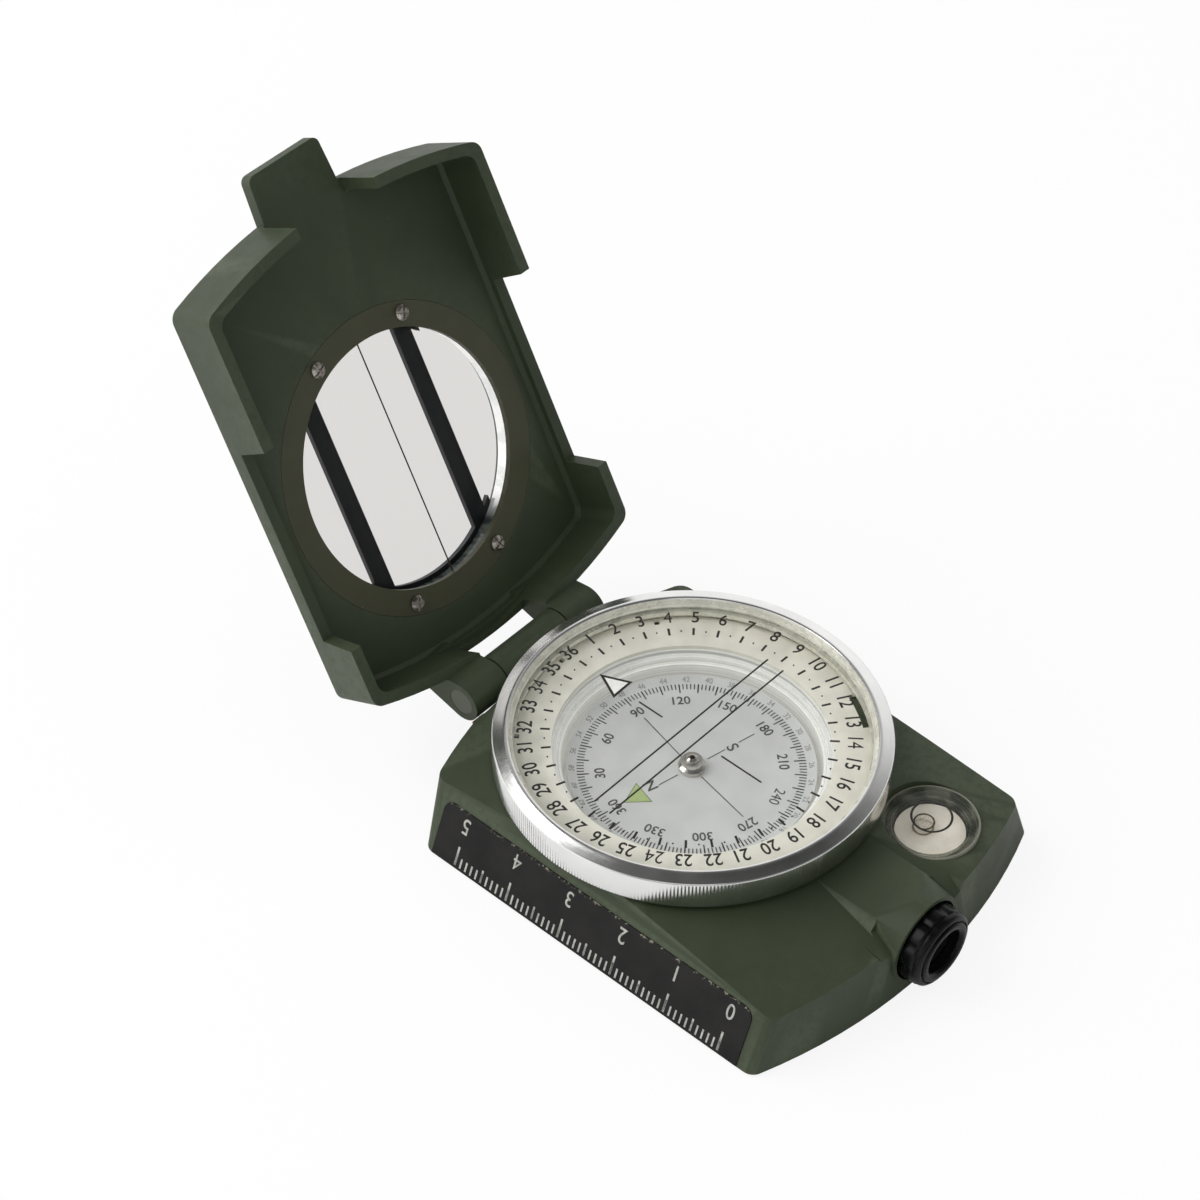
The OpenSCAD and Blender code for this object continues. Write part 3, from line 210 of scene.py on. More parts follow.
class Finish:
    """A surface finish, or the room's light, under construction as nodes."""

    def __init__(self, name, owner=None):
        self.owner = owner or bpy.data.materials.new(name)
        self.owner.use_nodes = True
        self.tree = self.owner.node_tree
        self.tree.nodes.clear()

    def node(self, kind, settings=None, sockets=None, out=0):
        """Add a node: first its settings, then values or links of its sockets by name or number."""
        made = self.tree.nodes.new(kind)
        for key, value in (settings or {}).items():
            if key == "stops":
                ramp = made.color_ramp
                while len(ramp.elements) < len(value):
                    ramp.elements.new(0.5)
                for element, (place, colour) in zip(ramp.elements, value):
                    element.position = place
                    element.color = colour
            else:
                setattr(made, key, value)
        for key, value in (sockets or {}).items():
            if isinstance(value, Value):
                self.tree.links.new(value.socket, made.inputs[key])
            else:
                made.inputs[key].default_value = value
        return Value(self, made.outputs[out]) if len(made.outputs) else made

    def place(self):
        """Object coordinates in metres."""
        return self.node("ShaderNodeTexCoord", out="Object")

    def part(self, vector, axis):
        return self.node("ShaderNodeSeparateXYZ", {}, {0: vector}, axis)

    def stretched(self, vector, x=1.0, y=1.0, z=1.0, turn=(0, 0, 0)):
        return self.node("ShaderNodeMapping", {}, {"Vector": vector, "Scale": (x, y, z), "Rotation": turn})

    def mottle(self, vector, size, detail=2.0, rough=0.5):
        """Noise from 0 to 1 whose patches are about size mm across."""
        sockets = {"Vector": vector, "Scale": 1000 / size, "Detail": detail, "Roughness": rough}
        return self.node("ShaderNodeTexNoise", {}, sockets)

    def between(self, value, low, high, to_low=0.0, to_high=1.0):
        """Value mapped from low..high to 0..1, or to another span, and clamped there."""
        return self.node("ShaderNodeMapRange", {"interpolation_type": "SMOOTHSTEP"},
                         {0: value, 1: low, 2: high, 3: to_low, 4: to_high})

    def blend(self, share, a, b):
        return self.node("ShaderNodeMix", {"data_type": "RGBA"}, {0: share, 6: a, 7: b}, 2)

    def ridge(self):
        """From 0 on flat faces and hollows to 1 on outer edges."""
        point = self.node("ShaderNodeNewGeometry", out="Pointiness")
        return self.between(point, 0.505, 0.60)

    def specks(self, vector, size, share):
        """Small scattered dots: size apart in mm, and share of them shown."""
        cell = self.tree.nodes.new("ShaderNodeTexVoronoi")
        self.tree.links.new(vector.socket, cell.inputs["Vector"])
        cell.inputs["Scale"].default_value = 1000 / size
        near = self.between(Value(self, cell.outputs["Distance"]), 0.03, 0.07, 1.0, 0.0)
        chance = self.part(Value(self, cell.outputs["Color"]), 0)
        return near * self.between(chance, 1 - share, 1 - share + 0.01)

    def worn(self, patch, low, high):
        """A roughness, or a coat, from low to high that follows patches."""
        return self.between(patch, 0.2, 0.8, low, high)

    def rings(self, at, middle=(0, 0)):
        """The distance from an upright axis, and a vector whose noise lies in rings around it."""
        x = self.part(at, 0) - middle[0] * MM
        y = self.part(at, 1) - middle[1] * MM
        out = (x * x + y * y) ** 0.5
        return out, self.node("ShaderNodeCombineXYZ", {}, {0: out, 1: self.part(at, 2), 2: 0.0})

    def relief(self, height, deep, strength=1.0, over=None):
        """A bump whose highest points stand deep mm out."""
        sockets = {"Height": height, "Distance": deep * MM, "Strength": strength}
        if over:
            sockets["Normal"] = over
        return self.node("ShaderNodeBump", {}, sockets)

    def shader(self, sockets):
        return self.node("ShaderNodeBsdfPrincipled", {}, sockets)

    def done(self, surface):
        self.node("ShaderNodeOutputMaterial", {}, {"Surface": surface})
        return self.owner

    def opaque(self, colour, rough, normal, others=None):
        """Finish a surface from its colour, roughness and relief, and from other sockets by name."""
        sockets = {"Base Color": colour, "Roughness": rough, "Normal": normal, **(others or {})}
        return self.done(self.shader(sockets))

    def sheer(self, share, clear, solid):
        """Finish a clear surface that has a share of a solid one in it."""
        through = self.node("ShaderNodeBsdfTransparent", {}, {"Color": clear})
        return self.done(self.node("ShaderNodeMixShader", {}, {0: share, 1: through, 2: solid}))


def rgb(red, green, blue):
    """A colour from its 0 to 255 values as seen on a screen."""
    def straight(value):
        value /= 255
        return value / 12.92 if value <= 0.04045 else ((value + 0.055) / 1.055) ** 2.4
    return (straight(red), straight(green), straight(blue), 1.0)


def shade(colour, by):
    return (colour[0] * by, colour[1] * by, colour[2] * by, 1.0)


# Finishes

made_finishes = {}


def finish(make):
    """Make a finish the first time that it is asked for."""
    if make not in made_finishes:
        made_finishes[make] = make()
    return made_finishes[make]


def begun(name):
    """A new finish, and the places on its surface."""
    f = Finish(name)
    return f, f.place()


def olive_enamel():
    look = casting_look()
    enamel = (*look.enamel, 1.0)
    f, at = begun("olive_enamel")
    drift = f.mottle(at, 14, 3)
    cloud = f.mottle(at, 3.5, 4, 0.6)
    warm = (enamel[0] * 1.08, enamel[1] * 1.05, enamel[2], 1)
    colour = f.blend(f.between(drift, 0.35, 0.68), shade(enamel, 0.94), warm)
    colour = f.blend(f.between(cloud, 0.3, 0.75, 0, 0.5), colour, shade(enamel, 1.08))
    # Lighter edges: rubbed enamel and, in part, a painted highlight on the rounded edges
    edge_rub_and_highlight = f.ridge() * f.between(f.mottle(at, 1.1, 4, 0.65), 0.3, 0.6, 0.35, 1.0) * look.rubbing
    colour = f.blend(edge_rub_and_highlight, colour, (*look.rubbed, 1.0))
    streaks = f.mottle(f.stretched(at, 1, 0.12, 1, (0.3, 0.2, 0.7)), 0.7, 3, 0.7)
    scuff = f.between(streaks, 0.66, 0.8, 0, 0.3)
    colour = f.blend(scuff, colour, (*look.rubbed, 1.0))
    dust = f.specks(at, 2.6, 0.035)
    colour = f.blend(dust, colour, rgb(150, 160, 140))
    rough = f.worn(cloud, 0.44, 0.56) - 0.1 * edge_rub_and_highlight + 0.2 * dust
    peel = f.mottle(at, 0.42, 2, 0.5) * 0.7 + 0.3 * f.mottle(at, 0.13, 2, 0.6)
    normal = f.relief(peel, 0.016, 1.0)
    normal = f.relief(drift, 0.08, 0.5, normal)
    return f.opaque(colour, rough, normal, {"Specular IOR Level": 0.32})


def pin_enamel():
    """The same enamel, thin and dark, on the hinge pin's flush heads."""
    f, at = begun("pin_enamel")
    cloud = f.mottle(at, 1.2, 4, 0.6)
    colour = f.blend(f.between(cloud, 0.3, 0.7), rgb(40, 47, 34), rgb(58, 66, 49))
    # Lighter edges: a painted highlight, in part rubbed enamel
    colour = f.blend(f.ridge() * 0.6, colour, rgb(84, 90, 74))
    return f.opaque(colour, f.worn(cloud, 0.36, 0.5), f.relief(f.mottle(at, 0.3), 0.012))


def window_black():
    """Painted shade: blue-black on the bars and the wall behind the window's glass, with a painted highlight
    on their edges.
    """
    f, at = begun("window_black")
    cloud = f.mottle(at, 1.6, 4, 0.6)
    colour = f.blend(f.between(cloud, 0.3, 0.75), rgb(20, 22, 26), rgb(30, 33, 38))
    colour = f.blend(f.ridge() * 0.5, colour, rgb(70, 76, 84))
    return f.opaque(colour, f.worn(cloud, 0.3, 0.45), f.relief(f.mottle(at, 0.35), 0.012))


def turned_metal(name, bright, dull, low, high, metal=1.0, lines=0.05, size=2.4):
    """Metal turned on a lathe: fine rings around the dial's axis, duller patches and small dents."""
    f, at = begun(name)
    turning = f.mottle(f.rings(at)[1], lines, 3, 0.7)
    patch = f.mottle(at, size, 3, 0.5)
    colour = f.blend(f.between(patch, 0.3, 0.75), dull, bright)
    colour = f.blend(f.between(turning, 0.3, 0.7, 0, 0.35), colour, dull)
    rough = f.worn(patch, low, high) + f.worn(turning, 0, 0.06)
    normal = f.relief(turning, lines * 0.12, 0.8)
    normal = f.relief(f.mottle(at, 0.8, 3, 0.6), 0.006, 0.6, normal)
    return f.opaque(colour, rough, normal, {"Metallic": metal})


def bright_aluminium():
    return turned_metal("bright_aluminium", (0.90, 0.895, 0.88, 1), (0.82, 0.82, 0.81, 1), 0.13, 0.2,
                        lines=0.09, size=5.0)


def lip_aluminium():
    """Bright metal of the lip's inner side and the bore, its colour tinted cream as a painted reflection of
    the pale ring.
    """
    return turned_metal("lip_aluminium", (0.86, 0.85, 0.76, 1), (0.68, 0.67, 0.58, 1), 0.2, 0.3,
                        metal=0.35, lines=0.3)


def screw_steel():
    return turned_metal("screw_steel", (0.70, 0.66, 0.60, 1), (0.40, 0.37, 0.33, 1), 0.2, 0.38, lines=0.06)


def pin_steel():
    return turned_metal("pin_steel", (0.66, 0.66, 0.65, 1), (0.42, 0.42, 0.41, 1), 0.22, 0.4)


def magnet_steel():
    return turned_metal("magnet_steel", (0.16, 0.16, 0.17, 1), (0.08, 0.08, 0.09, 1), 0.35, 0.55)


def plated_brass():
    return turned_metal("plated_brass", (0.82, 0.80, 0.76, 1), (0.55, 0.52, 0.47, 1), 0.1, 0.22)


def spring_bronze():
    return turned_metal("spring_bronze", (0.85, 0.42, 0.22, 1), (0.55, 0.25, 0.12, 1), 0.25, 0.4)


def ring_bronze_green():
    """Dark bronze-green satin of the ring that holds the window's glass."""
    f, at = begun("ring_bronze_green")
    cloud = f.mottle(at, 5, 4, 0.6)
    colour = f.blend(f.between(cloud, 0.3, 0.7), rgb(34, 37, 15), rgb(44, 47, 23))
    # Lighter edges are a painted highlight
    colour = f.blend(f.ridge() * 0.4, colour, rgb(84, 84, 62))
    colour = f.blend(f.specks(at, 2.2, 0.03), colour, rgb(120, 118, 100))
    return f.opaque(colour, f.worn(cloud, 0.36, 0.48), f.relief(f.mottle(at, 0.25, 2), 0.01))


def ruler_black():
    """Black scale plate, matt, with its coat chipped along the upper edge."""
    f, at = begun("ruler_black")
    cloud = f.mottle(at, 6, 4, 0.6)
    colour = f.blend(f.between(cloud, 0.3, 0.7), rgb(24, 23, 23), rgb(34, 33, 32))
    up = f.part(at, 2)
    edge = f.between(up, 8.75 * MM, 9.15 * MM)
    chips = edge * f.between(f.mottle(at, 0.6, 3, 0.6), 0.56, 0.62)
    colour = f.blend(chips, colour, rgb(128, 126, 112))
    rough = f.worn(cloud, 0.42, 0.55) - 0.12 * chips
    grain = f.mottle(f.stretched(at, 1, 0.06, 1), 0.12, 2)
    normal = f.relief(grain * 0.6 - 1.5 * chips, 0.01)
    return f.opaque(colour, rough, normal, {"Specular IOR Level": 0.16})


def ink(name, colour, faded, rough):
    """Printing ink, a little uneven and thin in places."""
    f, at = begun(name)
    patch = f.mottle(at, 0.8, 4, 0.65)
    mixed = f.blend(f.between(patch, 0.35, 0.75), colour, faded)
    return f.opaque(mixed, f.worn(patch, rough, rough + 0.15), f.relief(f.mottle(at, 0.15), 0.004))


def white_ink():
    return ink("white_ink", rgb(178, 178, 172), rgb(134, 134, 128), 0.5)


def black_ink():
    return ink("black_ink", rgb(26, 24, 22), rgb(48, 44, 38), 0.4)


def grey_ink():
    return ink("grey_ink", rgb(72, 72, 70), rgb(110, 109, 106), 0.5)


def faint_ink():
    return ink("faint_ink", rgb(140, 140, 136), rgb(170, 169, 164), 0.55)


def arrow_white():
    return ink("arrow_white", rgb(240, 240, 236), rgb(222, 222, 214), 0.45)


def arrow_green():
    colour = (*dial_look().arrow, 1.0)
    return ink("arrow_green", colour, shade(colour, 0.82), 0.45)


def luminous_paint():
    """Pale moulded ring that glows in the dark, with soft specks in it."""
    colour = (*dial_look().glow, 1.0)
    f, at = begun("luminous_paint")
    cloud = f.mottle(at, 4, 4, 0.6)
    tone = f.blend(f.between(cloud, 0.3, 0.7), shade(colour, 0.93), shade(colour, 1.05))
    tone = f.blend(f.between(f.mottle(at, 0.5, 3, 0.6), 0.6, 0.72, 0, 0.25), tone, shade(colour, 0.72))
    return f.opaque(tone, f.worn(cloud, 0.42, 0.55), f.relief(f.mottle(at, 0.5), 0.01))


def dial_paper():
    """Printed pale grey card."""
    colour = (*dial_look().card, 1.0)
    f, at = begun("dial_paper")
    cloud = f.mottle(at, 5, 3)
    tone = f.blend(f.between(cloud, 0.3, 0.7), shade(colour, 0.95), shade(colour, 1.04))
    fibre = f.mottle(f.stretched(at, 1, 0.25, 1), 0.16, 3, 0.6)
    tone = f.blend(f.between(fibre, 0.55, 0.8, 0, 0.15), tone, shade(colour, 0.8))
    return f.opaque(tone, f.worn(fibre, 0.5, 0.62), f.relief(fibre, 0.006))


def cream_disc():
    """Cream disc of the level under its liquid, with small darker patches at random."""
    f, at = begun("cream_disc")
    cloud = f.mottle(at, 2.2, 4, 0.6)
    tone = f.blend(f.between(cloud, 0.3, 0.7), rgb(232, 224, 208), rgb(242, 235, 221))
    tone = f.blend(f.between(f.mottle(at, 0.6, 3), 0.6, 0.75, 0, 0.3), tone, rgb(168, 160, 142))
    return f.opaque(tone, f.worn(cloud, 0.35, 0.5), f.relief(cloud, 0.02))


def black_plastic():
    """Glossy black moulded plastic, finely scuffed."""
    f, at = begun("black_plastic")
    cloud = f.mottle(at, 1.5, 4, 0.6)
    colour = f.blend(f.between(cloud, 0.3, 0.7), rgb(3, 3, 4), rgb(9, 9, 10))
    # Lighter edges are a painted highlight
    colour = f.blend(f.ridge() * 0.35, colour, rgb(60, 58, 60))
    scuff = f.between(f.mottle(f.stretched(at, 0.15, 1, 1, (0.4, 0, 0.3)), 0.3, 3, 0.7), 0.6, 0.75)
    return f.opaque(colour, f.worn(cloud, 0.2, 0.34) + 0.12 * scuff,
                    f.relief(f.mottle(at, 0.5, 3, 0.6), 0.012), {"Specular IOR Level": 0.16})


def pane(name, clear, size=3.0):
    """Clear glass or plastic: straight sight through it, and a reflection that grows towards its edge."""
    f, at = begun(name)
    smear = f.mottle(at, size, 4, 0.65)
    gloss = f.shader({"Base Color": (0.9, 0.92, 0.92, 1), "Metallic": 1.0,
                      "Roughness": f.worn(smear, 0.015, 0.055),
                      "Normal": f.relief(f.mottle(at, 6.0, 2), 0.01, 0.3)})
    slant = f.node("ShaderNodeLayerWeight", {}, {"Blend": 0.5}, "Facing")
    share = slant ** 5.0 * 0.9 + f.between(smear, 0.5, 0.8, 0.008, 0.018)
    return f.sheer(share, clear, gloss)


def clear_glass():
    return pane("clear_glass", (0.995, 0.997, 0.996, 1))


def window_pane():
    return pane("window_pane", (0.86, 0.853, 0.843, 1), size=5.0)


def glass_edge():
    """Polished edge of the window's glass: a painted highlight that glows at its side, dark green-grey
    towards the hinge.
    """
    f, at = begun("glass_edge")
    line = f.mottle(f.stretched(at, 1, 0.2, 0.2), 1.2, 3, 0.6)
    highlight_side = f.between(f.part(at, 0), 10.5 * MM, 14.5 * MM)
    dark = f.blend(f.between(line, 0.4, 0.6), rgb(56, 61, 62), rgb(92, 100, 96))
    bright = f.blend(f.between(line, 0.45, 0.6, 0, 0.5), rgb(252, 252, 251), rgb(206, 212, 210))
    colour = f.blend(highlight_side, dark, bright)
    # The emission makes the painted highlight glow
    others = {"Metallic": highlight_side, "Emission Strength": 1.0,
              "Emission Color": f.blend(highlight_side, (0.0, 0.0, 0.0, 1), (0.3, 0.31, 0.31, 1))}
    return f.opaque(colour, f.worn(line, 0.08, 0.2), f.relief(line, 0.01), others)


def lens_glass():
    return pane("lens_glass", (0.86, 0.90, 0.95, 1))


def jewel_glass():
    """Polished cup jewel: silvery with a dark middle."""
    f, at = begun("jewel_glass")
    middle = f.between(f.rings(at)[0], 0.35 * MM, 0.5 * MM, 1.0, 0.0)
    patch = f.mottle(at, 0.6, 3, 0.6)
    colour = f.blend(f.between(patch, 0.35, 0.7), (0.75, 0.72, 0.68, 1), (0.45, 0.42, 0.38, 1))
    colour = f.blend(middle, colour, rgb(58, 46, 40))
    return f.opaque(colour, f.worn(patch, 0.06, 0.2), f.relief(patch, 0.02), {"Metallic": 0.8})


def bowl_plastic():
    """Moulded pale bowl with light and dark bands down its wall. It glows a little as painted light, which
    lifts the shade in the groove by the card.
    """
    f, at = begun("bowl_plastic")
    band = f.mottle(f.rings(at)[1], 0.5)
    cloud = f.mottle(at, 3, 4, 0.6)
    colour = f.blend(f.between(band, 0.35, 0.65), rgb(206, 205, 199), rgb(246, 246, 242))
    colour = f.blend(f.between(cloud, 0.4, 0.8, 0, 0.4), colour, rgb(214, 213, 205))
    # The emission is painted light
    others = {"Coat Weight": f.worn(cloud, 0.2, 0.5), "Emission Color": colour, "Emission Strength": 0.2}
    return f.opaque(colour, f.worn(cloud, 0.15, 0.3), f.relief(band, 0.03), others)


def level_acrylic():
    """Clear cup of the level: the enamel around it shows through in dark patches."""
    f, at = begun("level_acrylic")
    out, ring = f.rings(at, LEVEL)
    side = f.between(f.mottle(f.stretched(at, 1, 1, 0.3), 4.0, 3, 0.5), 0.42, 0.6)
    body = f.blend(side, rgb(120, 122, 106), rgb(44, 50, 38))
    band = f.mottle(ring, 0.5)
    body = f.blend(f.between(band, 0.55, 0.72, 0, 0.4), body, rgb(196, 196, 184))
    # The bright ring at the cup's rim is a painted highlight
    rim = f.between(out, 6.72 * MM, 6.95 * MM)
    body = f.blend(rim, body, rgb(172, 172, 158))
    solid = f.shader({"Base Color": body, "Roughness": f.worn(band, 0.08, 0.25),
                      "Normal": f.relief(band, 0.03)})
    return f.sheer(f.between(band, 0.3, 0.7, 0.35, 0.7), (0.92, 0.93, 0.9, 1), solid)


def bubble_skin(name, patches, colours, rough, deep, clear, share):
    """A part of the bubble: patches of two colours over a clear surface, mixed by share."""
    f, at = begun(name)
    patch = f.mottle(at, *patches)
    solid = f.shader({"Base Color": f.blend(patch, *colours), "Roughness": f.worn(patch, *rough),
                      "Normal": f.relief(patch, deep)})
    return f.sheer(f.between(patch, *share), clear, solid)


def bubble_edge():
    """The bubble's edge: a painted shade, dark where its curved edge bends the light away."""
    return bubble_skin("bubble_edge", (0.7, 3), (rgb(52, 44, 36), rgb(92, 82, 70)), (0.1, 0.25), 0.01,
                       (0.9, 0.88, 0.84, 1), (0.3, 0.7, 0.55, 0.95))


def bubble_ghost():
    """The bubble's painted shadow on the cream disc: soft and tan, thinner on one side."""
    return bubble_skin("bubble_ghost", (1.6, 2, 0.4), (rgb(150, 134, 108), rgb(186, 172, 146)), (0.4, 0.5),
                       0.01, (1, 1, 1, 1), (0.35, 0.6, 0.35, 0.9))


def air_bubble():
    """Air under the level's glass, with a faint shine."""
    return bubble_skin("air_bubble", (0.6, 3), (rgb(236, 230, 216), rgb(206, 196, 178)), (0.1, 0.25), 0.02,
                       (0.98, 0.98, 0.97, 1), (0.35, 0.7, 0.15, 0.5))


def floor_white():
    """Pale floor that reads white from the camera and still takes the compass's shadow."""
    f, at = begun("floor_white")
    white = stage_look().floor
    tone = f.blend(f.between(f.mottle(at, 90, 3), 0.3, 0.7), shade(white, 0.99), shade(white, 1.0))
    matt = f.shader({"Base Color": tone, "Roughness": f.between(f.mottle(at, 30, 3), 0.3, 0.7, 0.85, 0.95)})
    seen = f.node("ShaderNodeLightPath", out="Is Camera Ray")
    glow = f.node("ShaderNodeEmission", {}, {"Color": (1, 1, 1, 1), "Strength": 1.0})
    return f.done(f.node("ShaderNodeMixShader", {}, {0: seen * 0.87, 1: matt, 2: glow}))


# Modelling by hand

def clear():
    """Leave edit mode with nothing selected."""
    if bpy.context.object and bpy.context.object.mode != "OBJECT":
        bpy.ops.object.mode_set(mode="OBJECT")
    bpy.ops.object.select_all(action="DESELECT")


def hold(piece):
    """Select only this piece and make it the active one."""
    clear()
    piece.select_set(True)
    bpy.context.view_layer.objects.active = piece


def shape(piece, whole=False):
    """Open a piece in edit mode with nothing in it selected, or all of it."""
    hold(piece)
    bpy.ops.object.mode_set(mode="EDIT")
    bpy.ops.mesh.select_all(action="SELECT" if whole else "DESELECT")


def pick(piece, test, kind="FACE"):
    """In edit mode, select what passes a test of its middle in mm, and of its normal for a face."""
    bpy.ops.mesh.select_mode(type=kind)
    mesh = bmesh.from_edit_mesh(piece.data)
    found = 0
    for item in {"FACE": mesh.faces, "EDGE": mesh.edges, "VERT": mesh.verts}[kind]:
        if kind == "FACE":
            passed = test(item.calc_center_median() / MM, item.normal)
        elif kind == "EDGE":
            passed = test((item.verts[0].co + item.verts[1].co) / 2 / MM, item)
        else:
            passed = test(item.co / MM, item)
        item.select_set(bool(passed))
        found += bool(passed)
    mesh.select_flush_mode()
    bmesh.update_edit_mesh(piece.data)
    if not found:
        raise RuntimeError(piece.name + ": nothing to shape is found at that place")


def settle(piece, matrix=None):
    """Put a piece's place, turn and size into its mesh."""
    clear()
    world = piece.matrix_world.copy() if matrix is None else matrix
    piece.data.transform(world)
    piece.matrix_world = Matrix.Identity(4)
    if world.determinant() < 0:
        piece.data.flip_normals()
    return piece


def joined(pieces, name):
    """One piece of several."""
    clear()
    for piece in pieces:
        piece.select_set(True)
    bpy.context.view_layer.objects.active = pieces[0]
    if len(pieces) > 1:
        bpy.ops.object.join()
    pieces[0].name = name
    return pieces[0]


def modified(piece, kind, **settings):
    """Add a modifier and apply it."""
    hold(piece)
    step = piece.modifiers.new(kind.title(), kind)
    for key, value in settings.items():
        setattr(step, key, value)
    bpy.ops.object.modifier_apply(modifier=step.name)
    return piece


def smoothed(piece, degrees=35):
    hold(piece)
    bpy.ops.object.shade_smooth_by_angle(angle=math.radians(degrees))
    return piece


def paint(piece, *finishes):
    """Give a piece its finishes, one for each of its material slots."""
    piece.data.materials.clear()
    for make in finishes:
        piece.data.materials.append(finish(make))


def place_on(piece, body, slot, *nodes):
    """Let a piece ride on a body and stand for nodes. Its slot is not used."""
    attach(piece, body)
    if nodes:
        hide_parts(*nodes)


def repaint(**finishes):
    """Give nodes of the solids their finishes."""
    for node, make in finishes.items():
        paint(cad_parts[node], make)


def turned(name, profile, steps, axis="Z", centre=(0, 0, 0)):
    """A ring turned from a closed profile of (radius, height) in mm, as on a lathe."""
    clear()
    bpy.ops.mesh.primitive_circle_add(vertices=len(profile), radius=MM)
    ring = bpy.context.object
    ring.name = name
    for vertex, (out, along) in zip(ring.data.vertices, profile):
        vertex.co = mm(out, 0, along) if axis == "Z" else mm(out, along, 0)
    ring.data.transform(Matrix.Translation(mm(*centre)))
    shape(ring, whole=True)
    bpy.ops.mesh.spin(steps=steps, angle=2 * math.pi, center=mm(*centre),
                      axis=(0, 0, 1) if axis == "Z" else (0, 1, 0))
    bpy.ops.mesh.select_all(action="SELECT")
    bpy.ops.mesh.remove_doubles(threshold=0.002 * MM)
    bpy.ops.mesh.normals_make_consistent(inside=False)
    clear()
    return ring


def softened(node, name, radius, sharp=24):
    """A casting's copy with its triangles welded and its outer edges rounded."""
    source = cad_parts[node]
    piece = bpy.data.objects.new(name, source.data.copy())
    bpy.context.scene.collection.objects.link(piece)
    shape(piece, whole=True)
    bpy.ops.mesh.remove_doubles(threshold=0.03 * MM)
    bpy.ops.mesh.customdata_custom_splitnormals_clear()
    bpy.ops.mesh.select_all(action="SELECT")
    bpy.ops.mesh.dissolve_degenerate(threshold=0.03 * MM)
    bpy.ops.mesh.select_all(action="SELECT")
    bpy.ops.mesh.dissolve_limited(angle_limit=math.radians(0.6))
    bpy.ops.mesh.select_all(action="DESELECT")
    bpy.ops.mesh.select_mode(type="EDGE")
    bpy.ops.mesh.edges_select_sharp(sharpness=math.radians(sharp))
    clear()
    weights = piece.data.attributes.get("bevel_weight_edge") or piece.data.attributes.new(
        "bevel_weight_edge", "FLOAT", "EDGE")
    for edge in piece.data.edges:
        weights.data[edge.index].value = 1.0 if edge.select else 0.0
    modified(piece, "BEVEL", width=radius, segments=2, limit_method="WEIGHT", use_clamp_overlap=True,
             miter_outer="MITER_ARC", harden_normals=False)
    smoothed(piece, 40)
    modified(piece, "WEIGHTED_NORMAL", mode="FACE_AREA", weight=50, keep_sharp=True)
    return piece


def lettering(words, height, deep, squeeze=0.86, bold=0.0):
    """Words as a mesh, centred on the origin, height tall in metres and deep thick."""
    clear()
    bpy.ops.object.text_add()
    text = bpy.context.object
    text.data.body = words
    text.data.resolution_u = 4
    text.data.extrude = 0.5
    text.data.offset = 0.0 if "4" in words else bold
    bpy.ops.object.convert(target="MESH")
    mark = bpy.context.object
    xs = [v.co.x for v in mark.data.vertices]
    ys = [v.co.y for v in mark.data.vertices]
    tall = max(ys) - min(ys)
    mark.data.transform(Matrix.Translation((-(max(xs) + min(xs)) / 2, -(max(ys) + min(ys)) / 2, 0)))
    mark.data.transform(Matrix.Diagonal((height / tall * squeeze, height / tall, deep, 1)))
    return mark


def stroke(x0, y0, x1, y1, wide, low, deep):
    """A printed line from one place to another, in mm, as a thin block; wide and deep are in metres."""
    clear()
    middle = mm((x0 + x1) / 2, (y0 + y1) / 2, low) + Vector((0, 0, deep / 2))
    bpy.ops.mesh.primitive_cube_add(size=1)
    line = bpy.context.object
    size = Matrix.Diagonal((math.hypot(x1 - x0, y1 - y0) * MM, wide, deep, 1))
    turn = Matrix.Rotation(math.atan2(y1 - y0, x1 - x0), 4, "Z")
    return settle(line, Matrix.Translation(middle) @ turn @ size)


def around(piece, count, centre=(0, 0, 0)):
    """Repeat a piece's mesh evenly around an upright axis."""
    shape(piece, whole=True)
    bpy.ops.mesh.spin(steps=count - 1, dupli=True, angle=2 * math.pi * (count - 1) / count,
                      center=mm(*centre), axis=(0, 0, 1))
    clear()
    return piece


def bearing(degrees, out, z, centre=(0, 0)):
    """A place in metres from an angle and a radius and height in mm."""
    turn = math.radians(degrees)
    return mm(centre[0] + out * math.cos(turn), centre[1] + out * math.sin(turn), z)


def at_angle(piece, degrees, out, z, centre=(0, 0)):
    """Stand a flat mark at a bearing and radius in mm, its top outwards."""
    return settle(piece, turned_at(bearing(degrees, out, z, centre), degrees - 90))


def arrowhead(corners, border, deep, *finishes):
    """A printed triangle in one finish inside a border of another: border in mm, the rest in metres."""
    clear()
    bpy.ops.mesh.primitive_circle_add(vertices=3, radius=MM, fill_type="NGON")
    arrow = bpy.context.object
    for vertex, corner in zip(arrow.data.vertices, corners):
        vertex.co = corner
    paint(arrow, *finishes)
    shape(arrow, whole=True)
    bpy.ops.mesh.normals_make_consistent(inside=False)
    bpy.ops.mesh.inset(thickness=border * MM)
    arrow.active_material_index = 1
    bpy.ops.object.material_slot_assign()
    return modified(arrow, "SOLIDIFY", thickness=deep, offset=0)


# One operator for each piece or group of pieces

class COMPASS_OT_casing(bpy.types.Operator):
    """Soften the casing's edges and give the casing, its plate and its screws their finish"""
    bl_idname = "compass.casing"
    bl_label = "Casing"

    def execute(self, context):
        skin = softened("base_body", "casing_skin", casting_look().softness)
        paint(skin, olive_enamel)
        place_on(skin, "casing", "olive_enamel", "base_body")
        repaint(bottom_plate=olive_enamel, plate_screws=screw_steel, friction_leaves=spring_bronze)
        return {"FINISHED"}


